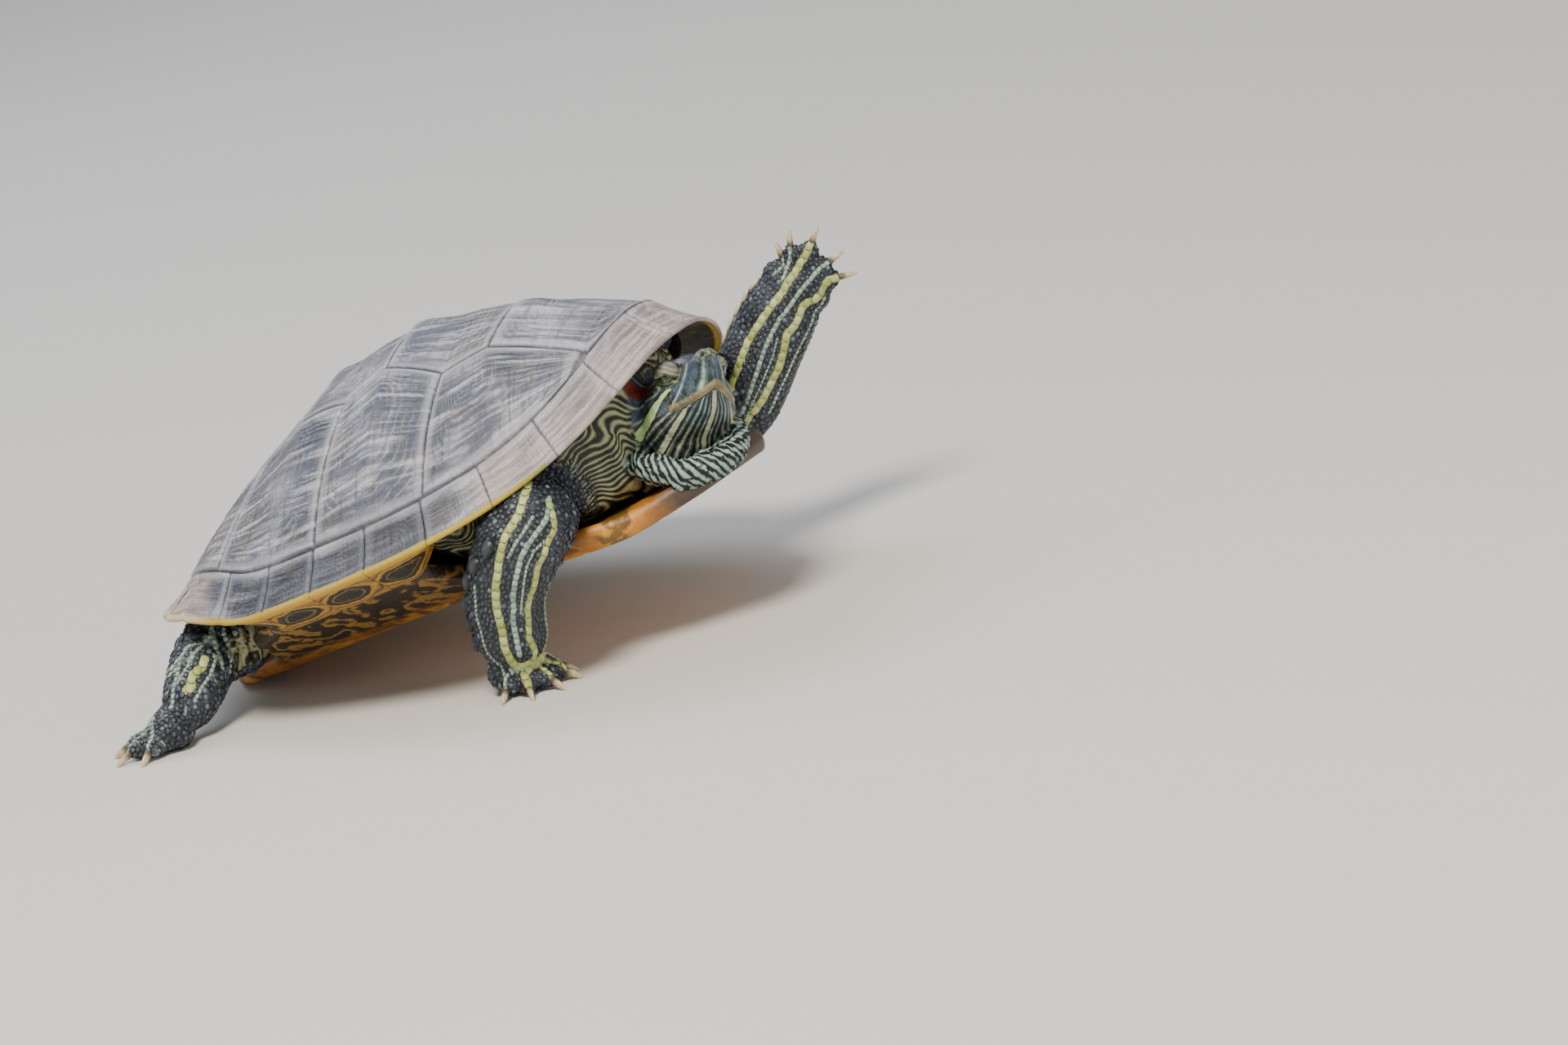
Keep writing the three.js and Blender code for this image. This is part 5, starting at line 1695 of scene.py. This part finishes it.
# %% Face colours
def face_tone(put, place, cloud, broad):
    """Lines, temple and crown, the red ear patch, the horny edge of the mouth, and the lids."""
    plain, ear, crown = (
        put("Attribute", {}, out="Fac", attribute_name=name) for name in ("plain", "ear", "crown"))
    mouth = put("Attribute", {}, out="Vector", attribute_name="gape")
    gape, forward, jaw = (put("SeparateXYZ", {"Vector": mouth}, out=axis) for axis in "XYZ")
    slate = put("TexNoise", {"Vector": place, "Scale": per_mm(6)})
    face = lined_tone(put, place, slate, forward, jaw, plain)
    mottle = put("TexNoise", {"Vector": place, "Scale": per_mm(1.6)})
    mottle = put("ValToRGB", {"Fac": mottle}, stops=[(0.4, "#232b26"), (0.52, "#5d6959"), (0.62, "#96987f")])
    face = put("Mix", {"Factor": plain, "A": face, "B": mottle})
    border = put("MapRange", {"Value": broad, "From Min": -0.9, "From Max": -0.4, "To Max": 0.9})
    face = put("Mix", {"Factor": border, "A": face, "B": "#121815"})
    lilac = put("ValToRGB", {"Fac": slate}, stops=[(0.4, "#55586b"), (0.6, "#8a8ba3")])
    face = put("Mix", {"Factor": crown, "A": face, "B": lilac})
    face = lay(put, face, "#7a2b1a", ear, [(0.3, 0.0), (0.55, 1.0)])
    beak = put("MapRange", {"Value": gape, "From Min": -1.0, "From Max": 4.0})
    tan = put("ValToRGB", {"Fac": cloud}, stops=[(0.4, "#7d7656"), (0.62, "#a89c70")])
    horn = [(0.0, 0.0), (0.17, 0.0), (0.21, 1.0), (0.5, 0.9), (0.66, 0.0)]
    face = lay(put, face, tan, beak, horn, within=forward)
    face = lay(put, face, "#15150f", beak, [(0.1, 0.0), (0.17, 0.9), (0.22, 0.0)], within=forward)
    return orbit_tone(put, place, face)


print("the face is drawn from", len(HEAD_BANDS), "bands and the lines between them")

# %% Skin material
def striped_tone(put, place, cloud, broad, head_zone, ground):
    """The narrow and the broad stripes over everything, frayed a little, with the yellow brightened on the
    head as painted light.
    """
    throat, narrow = (put("Attribute", {}, out="Fac", attribute_name=name) for name in ("throat", "narrow"))
    fray = put("TexNoise", {"Vector": place, "Scale": per_mm(1.6)})
    fray = put("Math", {0: fray, 1: 1.1, 2: -0.55}, operation="MULTIPLY_ADD")
    thin = put("Math", {0: narrow, 1: fray}, operation="ADD")
    thin = put("MapRange", {"Value": thin, "From Min": -0.1, "From Max": 0.2})
    ground = put("Mix", {"Factor": thin, "A": ground, "B": "#94ab9c"})
    wide = put("Math", {0: fray, 1: 0.6, 2: broad}, operation="MULTIPLY_ADD")
    wide = put("MapRange", {"Value": wide, "From Min": -0.12, "From Max": 0.18})
    yellow = put("ValToRGB", {"Fac": cloud}, stops=[(0.35, "#a5ad5a"), (0.65, "#c0cb82")])
    # Painted light: on the head the yellow is brightened to make up for the dim light falling there.
    yellow = put("Mix", {"Factor": head_zone, "A": yellow, "B": "#bcd894"})
    on_throat = put("Math", {0: throat, 1: head_zone}, operation="MULTIPLY")
    yellow = put("Mix", {"Factor": on_throat, "A": yellow, "B": "#aeb392"})
    return put("Mix", {"Factor": wide, "A": ground, "B": yellow})


def skin_finish():
    look, put = material("turtle_skin", 0.5, ior=1.45)
    place = put("TexCoord", {}, out="Object")
    broad = put("Attribute", {}, out="Fac", attribute_name="broad")
    zone = put("Attribute", {}, out="Vector", attribute_name="zone")
    head_zone, collar_zone, chest_zone = (put("SeparateXYZ", {"Vector": zone}, out=axis) for axis in "XYZ")
    cloud = put("TexNoise", {"Vector": place, "Scale": per_mm(8), "Detail": 3.0})
    cells = put("TexVoronoi", {"Vector": place, "Scale": per_mm(1.5)}, out="Distance")
    ground = body_tone(put, place, cloud, cells, chest_zone, collar_zone)
    face = face_tone(put, place, cloud, broad)
    ground = put("Mix", {"Factor": head_zone, "A": ground, "B": face})
    finish = striped_tone(put, place, cloud, broad, head_zone, ground)
    grain = put("TexNoise", {"Vector": place, "Scale": per_mm(0.7)})
    height = put("Math", {0: cells, 1: -1.0, 2: grain}, operation="MULTIPLY_ADD")
    bump = put("Bump", {"Height": height, "Strength": 0.6, "Distance": 0.5 * MM})
    sheen = put("MapRange", {"Value": cloud, "To Min": 0.36, "To Max": 0.58})
    return dress(look, {"Base Color": finish, "Normal": bump, "Roughness": sheen})


skin_look = skin_finish()
set_points(skin, to_floor(get_points(skin)))
SKIN_NODES = ["trunk", "neck", "head", "tail"] + [
    f"{part}_{side}" for part in ("foreleg", "forefoot", "hindleg", "hindfoot") for side in ("right", "left")]
finish_piece("skin", skin, skin_look, SKIN_NODES)
print("one skin stands for", len(SKIN_NODES), "solids")

# %% [markdown]
# ## Eyes
# A slider's eye is a wet ball nearly half as deep as the head is wide there. Its iris is
# yellow-green, and a dark bar crosses it level with the round pupil. Only a slanting slit of it
# shows between the lids, but the whole ball is made, so that light falls into it as it should.

# %% Eyes
PUPIL_RADIUS = 1.15
IRIS_RADIUS = 2.7


def eye_finish():
    look, put = material("wet_eye", 0.06, ior=1.38)
    gaze = put("Attribute", {}, out="Vector", attribute_name="gaze")
    out, level = (put("SeparateXYZ", {"Vector": gaze}, out=axis) for axis in "XZ")
    ring = put("MapRange", {"Value": out, "From Max": EYE_RADIUS})
    place = put("TexCoord", {}, out="Object")
    fibres = put("TexNoise", {"Vector": place, "Scale": per_mm(0.6)})
    green = put("ValToRGB", {"Fac": fibres}, stops=[(0.35, "#27331c"), (0.65, "#5d6b35")])
    level = put("Math", {0: level}, operation="ABSOLUTE")
    bar = put("MapRange", {"Value": level, "From Min": 0.35, "From Max": 0.75, "To Min": 1.0, "To Max": 0.0})
    iris = put("Mix", {"Factor": bar, "A": green, "B": "#14140c"})
    mask = put("ValToRGB", {"Fac": ring}, stops=[
        (PUPIL_RADIUS / EYE_RADIUS, 0.0), (PUPIL_RADIUS / EYE_RADIUS + 0.02, 1.0)])
    iris = put("Mix", {"Factor": mask, "A": "#050505", "B": iris})
    edge = IRIS_RADIUS / EYE_RADIUS
    finish = lay(put, iris, "#26281c", ring, [(edge, 0.0), (edge + 0.05, 1.0)])
    return dress(look, {"Base Color": finish, "Coat Weight": 1.0, "Coat Roughness": 0.03})


eye_look = eye_finish()
for label, side in sides.items():
    mesh, ball = ball_mesh("eye_" + label, 40, 32)
    axis = unit(EYE_AXIS * EYE_RADIUS - SLIT_CROSS * SLIT_DROP) * [1, side, 1]
    level_axis = unit(np.cross(axis, (0, 0, 1)))
    upper_axis = np.cross(level_axis, axis)
    set_points(mesh, to_floor(out_of_head(EYE_CENTRE * [1, side, 1] + ball * EYE_RADIUS)))
    off_axis = np.arccos(np.clip(ball @ axis, -1, 1)) * EYE_RADIUS
    set_measures(mesh, gaze=np.stack([off_axis, ball @ level_axis, ball @ upper_axis * EYE_RADIUS], -1))
    finish_piece("eyeball_" + label, mesh, eye_look, ["eye_" + label])
print("eyes of", 2 * EYE_RADIUS, "mm")

# %% [markdown]
# ## Claws
# Sliders have long claws, straw-cream and darker at the root, curved down a little. Each is a
# narrow bent cone of keratin seated in the end of its toe, and the claws of a foot are one mesh.

# %% Claws
def claw_finish():
    look, put = material("claw_keratin", 0.32, ior=1.54)
    root = put("Attribute", {}, out="Fac", attribute_name="root")
    place = put("TexCoord", {}, out="Object")
    streaks = put("TexNoise", {"Vector": place, "Scale": per_mm(0.8)})
    horn = put("ValToRGB", {"Fac": streaks}, stops=[(0.35, "#b7a67c"), (0.65, "#d9cda6")])
    finish = put("Mix", {"Factor": root, "A": horn, "B": "#5f573f"})
    return dress(look, {
        "Base Color": finish, "Subsurface Weight": 0.08, "Subsurface Radius": (0.002, 0.0015, 0.001)})


def claw_stations(toe, normal):
    """A cone from inside the toe's end to where the solid toe ends, with its tip bent down."""
    start, end = np.array(toe[1][:3]), np.array(toe[3][:3])
    ahead, down = unit(end - start), -unit(normal)
    seat = np.array(toe[2][:3]) + 0.4 * unit(normal)
    return [[*seat, 1.5], [*(end + ahead * 1.2 + 0.2 * unit(normal)), 1.25],
            [*(end + ahead * 3.2 + 0.35 * down), 0.95], [*(end + ahead * 4.9 + 1.0 * down), 0.4]]


claw_look = claw_finish()
for foot, (_, toes, normal) in feet.items():
    bm = bmesh.new()
    roots = []
    for toe in toes:
        claw = limb_mesh(claw_stations(toe, normal), normal, 0.8, (14, 14))
        share = limb_measures(get_points(claw), claw_stations(toe, normal), normal)[0]
        roots.append(smoothstep(share, 0.5, 0.22))
        bm.from_mesh(claw)
        bpy.data.meshes.remove(claw)
    mesh = as_mesh(bm, "claws_" + foot)
    points = get_points(mesh)
    points[:, 2] = np.maximum(points[:, 2], floor_height(points[:, 0]) + CLAW_GAP)
    set_points(mesh, to_floor(points))
    set_measures(mesh, root=np.concatenate(roots))
    finish_piece("claws_" + foot, mesh, claw_look)
print("claws:", sum(len(foot[1]) for foot in feet.values()))

# %% [markdown]
# ## Scales
# A turtle's legs are covered by many small horny scales, set like cobbles, with larger ones in
# a chain along each stripe and a row of flat plates down the outer edge of the forearm. They
# lie along the limb, and each is one colour, which is what makes the stripes look beaded.
# Every scale is a low solid pebble sunk in the skin. One pebble is repeated by an array and
# all copies are then put on their roots together.

# %% Lie of the scales
LIMB_ROWS = list(legs) + list(feet)


def limb_shapes():
    """Every path that carries scales, with the row of its unwrap: legs, palms and toes."""
    for row, (stations, normal, _) in enumerate(legs.values()):
        yield row, stations, normal
    for row, (palm, toes, normal) in enumerate(feet.values()):
        yield row + len(legs), palm, normal
        for toe in toes:
            yield row + len(legs), toe, normal


def lie_of(points):
    """At each point: closeness to its limb, the limb's direction, its unwrap row, share and turn."""
    best = np.full(len(points), np.inf)
    along = np.zeros((len(points), 3))
    spot = np.zeros((len(points), 3))
    for row, stations, normal in limb_shapes():
        share, angle, away = limb_measures(points, stations, normal)
        tangent = limb_frame(stations, share, normal)[1]
        closer = away < best
        best = np.where(closer, away, best)
        along = np.where(closer[:, None], tangent, along)
        here = np.stack([np.full(len(share), row), share, angle / 360 + 0.5], -1)
        spot = np.where(closer[:, None], here, spot)
    return best, along, spot


print("scales are unwrapped in", len(LIMB_ROWS), "rows")

# %% Rows of scales
def spread_out(points, spacing, seed):
    """Picks points in a seeded order so that none is nearer to another than its spacing."""
    cell = spacing.max()
    taken, chosen = {}, []
    for i in np.random.default_rng(seed).permutation(len(points)):
        key = tuple((points[i] // cell).astype(int))
        around = itertools.product(*((k - 1, k, k + 1) for k in key))
        near = [j for box in around for j in taken.get(box, ())]
        if not near or ((points[near] - points[i]) ** 2).sum(1).min() > spacing[i] ** 2:
            taken.setdefault(key, []).append(i)
            chosen.append(i)
    return np.array(chosen)


def resampled(path, pitch):
    """Places a pitch apart along a path after it is laid down onto the skin."""
    line = laid_on_skin(path)
    walked = np.concatenate([[0], np.cumsum(np.linalg.norm(np.diff(line, axis=0), axis=1))])
    at = np.arange(pitch / 2, walked[-1], pitch)
    return np.stack([np.interp(at, walked, line[:, i]) for i in range(3)], -1)


def chain_of(stripes, pitch_share, kind):
    """Roots and sizes of the larger scales that fill each stripe."""
    rows = []
    for path, half in stripes:
        pitch = pitch_share * (half + 0.55)
        roots = resampled(path, pitch)
        sizes = (pitch * 1.08, half * 2.05, 0.42 + 0.12 * half, kind)
        rows.append(np.column_stack([roots, np.tile(sizes, (len(roots), 1))]))
    return np.vstack(rows)


def edge_plates(leg, stations, sizes, kind):
    roots = on_limb(leg, stations)
    return np.column_stack([roots, np.tile(sizes, (len(roots), 1)), np.full(len(roots), kind)])


print("length of the first stripe in mm:", len(resampled(BROAD_STRIPES[0][0], 1)))

# %% Where scales sit
FOOT_COBBLE = 1.45
LEG_COBBLE = 1.6
HIND_COBBLE = 1.9
GROUND, YELLOW, PALE, CREAM = 0, 1, 2, 3
skin_points = from_floor(get_points(skin))
closeness, _, unwrap = lie_of(skin_points)
in_broad = depth_in(skin_points, BROAD_STRIPES)
in_narrow = depth_in(skin_points, NARROW_STRIPES)
x, y, _ = skin_points.T
hidden = (np.abs(x) < 95) & (np.abs(y) < inner_half_width(x) - 12)
bare = (closeness > np.where(x < HIND_START, 1.4, 1.22)) | (groin_share(skin_points) > 0.4)
bare = bare | (in_broad > -0.35) | (in_narrow > -0.3) | hidden
free = np.nonzero(~bare)[0]
spacing = np.where(x < HIND_START, HIND_COBBLE, LEG_COBBLE)
spacing = np.where(unwrap[:, 0] >= len(legs), FOOT_COBBLE, spacing)
spacing = spacing * (1 + 0.18 * noise(skin_points, 14, 31))
cobbles = free[spread_out(skin_points[free], spacing[free], 12)]
roots = skin_points[cobbles]
patchy = (roots[:, 0] < HIND_START) & (roots[:, 2] > -17) & (noise(roots, 5, 21) > 0.4)
cobbles = np.column_stack([roots, spacing[cobbles] * 1.16, spacing[cobbles] * 1.05,
                           np.full(len(cobbles), 0.34), np.where(patchy, PALE, GROUND)])
FOREARM_EDGE = [(0.38, -114), (0.47, -113), (0.565, -120), (0.66, -117), (0.74, -100), (0.83, -87)]
RAISED_EDGE = [(share, -100) for share in (0.56, 0.63, 0.7, 0.77, 0.84, 0.91)]
scale_list = np.vstack([
    cobbles, chain_of(BROAD_STRIPES, 1.75, YELLOW), chain_of(NARROW_STRIPES, 1.5, PALE),
    edge_plates("foreleg_right", FOREARM_EDGE, (6.6, 5.4, 2.1), GROUND),
    edge_plates("foreleg_left", RAISED_EDGE, (5.9, 3.8, 1.4), CREAM)])
print("scales:", len(scale_list))

# %% Scale keratin
def scale_finish():
    look, put = material("leg_scale_keratin", 0.4, ior=1.5)
    tint = put("Attribute", {}, out="Vector", attribute_name="tint")
    kind, chance, rise = (put("SeparateXYZ", {"Vector": tint}, out=axis) for axis in "XYZ")
    tone = put("ValToRGB", {"Fac": chance}, stops=[
        (0.0, "#12161b"), (0.45, "#1b222b"), (0.8, "#29323f"), (0.93, "#414d5c"), (1.0, "#74848f")])
    yellow = put("ValToRGB", {"Fac": chance}, stops=[(0.0, "#a2aa54"), (0.5, "#b9c36f"), (1.0, "#cbd58e")])
    pale = put("ValToRGB", {"Fac": chance}, stops=[(0.0, "#7f9888"), (0.6, "#9db3a2"), (1.0, "#b3c8b6")])
    for number, coat in ((YELLOW, yellow), (PALE, pale), (CREAM, "#cfc9a6")):
        reached = put("Math", {0: kind, 1: number - 0.5}, operation="GREATER_THAN")
        tone = put("Mix", {"Factor": reached, "A": tone, "B": coat})
    # The top of each scale is lightened: a painted highlight, and the wear of its tip.
    tone = lay(put, tone, "#8e9aa2", rise, [(0.8, 0.0), (1.0, 0.22)])
    # Painted shade: the foot of each scale, where it meets the skin, is darkened.
    tone = lay(put, tone, "#0f1213", rise, [(0.5, 0.75), (0.72, 0.0)])
    place = put("TexCoord", {}, out="Object")
    grain = put("TexNoise", {"Vector": place, "Scale": per_mm(0.6)})
    bump = put("Bump", {"Height": grain, "Strength": 0.3, "Distance": 0.2 * MM})
    return dress(look, {"Base Color": tone, "Normal": bump})


scale_look = scale_finish()
print("made", scale_look.name)

# %% Scale pieces
PEBBLE_CELLS = (7, 4)
UNWRAP_PATCH = 0.003


def nearest_on(tree, points):
    found = [tree.find_nearest(Vector(point)) for point in points]
    return np.array([hit[0] for hit in found]), np.array([hit[1] for hit in found])


def scale_piece(name, rows, look, seed):
    pebble, ball = ball_mesh("pebble", *PEBBLE_CELLS)
    mesh = modified(pebble, "ARRAY", use_relative_offset=False, count=len(rows))
    mesh.name = name
    roots, normals = nearest_on(skin_tree, rows[:, :3])
    _, ahead, unwrap = lie_of(roots)
    ahead = unit(ahead - normals * (ahead * normals).sum(1, keepdims=True))
    side = np.cross(normals, ahead)
    chance = np.random.default_rng(seed).random(len(rows))
    square = np.sign(ball) * np.abs(ball) ** [0.72, 0.72, 1]
    reach = square[:, 0] * (0.5 * rows[:, 3:4])
    width = square[:, 1] * (0.5 * rows[:, 4:5])
    lifted = ball[:, 2] * rows[:, 5:6] + (0.35 * ball[:, 0] - 0.05) * rows[:, 5:6]
    places = (roots[:, None] + ahead[:, None] * reach[..., None] + side[:, None] * width[..., None]
              + normals[:, None] * lifted[..., None])
    places[..., 2] = np.maximum(places[..., 2], floor_height(places[..., 0]) + SOLE_GAP)
    set_points(mesh, to_floor(places.reshape(-1, 3)))
    kinds = np.repeat(rows[:, 6], len(ball))
    # The third measure is the height on the pebble, which the finish uses for a painted highlight on top and
    # painted shade at the foot.
    set_measures(mesh, tint=np.stack(
        [kinds, np.repeat(chance, len(ball)), np.tile(ball[:, 2] * 0.5 + 0.5, len(rows))], -1))
    spot = np.stack([(unwrap[:, 0] + 0.05 + 0.9 * unwrap[:, 1]) / len(LIMB_ROWS), unwrap[:, 2]], -1)
    spot = (spot[:, None] + ball[None, :, :2] * UNWRAP_PATCH / 2).reshape(-1, 2)
    corners = np.zeros(len(mesh.loops), np.int32)
    mesh.loops.foreach_get("vertex_index", corners)
    mesh.uv_layers.new(name="OFBake").data.foreach_set("uv", spot[corners].ravel())
    return finish_piece(name, mesh, look)


scale_rows = lie_of(scale_list[:, :3])[2][:, 0]
for number, limb in enumerate(LIMB_ROWS):
    chosen = scale_list[scale_rows == number]
    piece = scale_piece("scales_" + limb, chosen, scale_look, number)
    print(piece.name, len(chosen), "scales,", len(piece.data.polygons), "faces")

# %% [markdown]
# ## Floor, light and camera
# A museum model is shown on a plain pale floor under large soft lamps. The camera
# stands low, ahead of the animal's right shoulder and far away, behind a long lens, so that
# the near leg isn't swollen by perspective.

# %% Floor and light
LAMP_TARGET = Vector((0, 0, 0.05))
FLOOR_HALF_WIDTH = 3
FLOOR_CELLS = 40


def floor_and_backdrop():
    bm = bmesh.new()
    bmesh.ops.create_grid(bm, x_segments=FLOOR_CELLS, y_segments=FLOOR_CELLS, size=FLOOR_HALF_WIDTH)
    mesh = as_mesh(bm, "floor")
    mesh.materials.append(dress(material("pale_matt_board", 0.85)[0], {"Base Color": "#d9d7d2"}))
    made = linked("floor", mesh)


def lamp(name, place, size, power, tint="#ffffff"):
    light = bpy.data.lights.new(name, "AREA")
    light.shape = "DISK"
    light.size = size
    light.energy = power
    light.color = colour(tint)[:3]
    made = linked(name, light)
    made.location = place
    aim = LAMP_TARGET - made.location
    made.rotation_euler = aim.to_track_quat("-Z", "Y").to_euler()


floor_and_backdrop()
lamp("key_softbox", (0.25, -0.75, 1.3), 0.5, 26, "#fff4e6")
lamp("sky_softbox", (-0.9, 0.5, 1.2), 1.0, 13, "#e8f0ff")
lamp("front_fill", (1.3, -0.3, 0.35), 0.7, 4.5, "#fdf7ee")
world = bpy.data.worlds.new("studio")
world.use_nodes = True
feed(world.node_tree.nodes["Background"], {"Color": "#dfe3e6", "Strength": 0.5})
bpy.context.scene.world = world
print("lamps:", 3)

# %% Camera
LENS = 183.4
SENSOR = 36
CAMERA_REACH = 20
CAMERA_PLACE = Vector((1.4089, -2.0983, 0.6502))
CAMERA_RIGHT = Vector((0.8343, 0.4924, -0.2480))
CAMERA_UP = Vector((0.0861, 0.3278, 0.9408))
CAMERA_BACK = Vector((0.5446, -0.8063, 0.2310))
AIM_RIGHT = 0.0418
AIM_UP = -0.0038

camera_data = bpy.data.cameras.new("camera")
camera_data.lens = LENS
camera_data.sensor_width = SENSOR
camera_data.clip_end = CAMERA_REACH
camera = linked("camera", camera_data)
look = (AIM_RIGHT * CAMERA_RIGHT + AIM_UP * CAMERA_UP - CAMERA_BACK).normalized()
side = look.cross(CAMERA_UP).normalized()
camera.matrix_world = Matrix((side, side.cross(look), -look)).transposed().to_4x4()
camera.location = CAMERA_PLACE
bpy.context.scene.camera = camera
print("camera height above the floor in metres:", round(CAMERA_PLACE.z, 2))
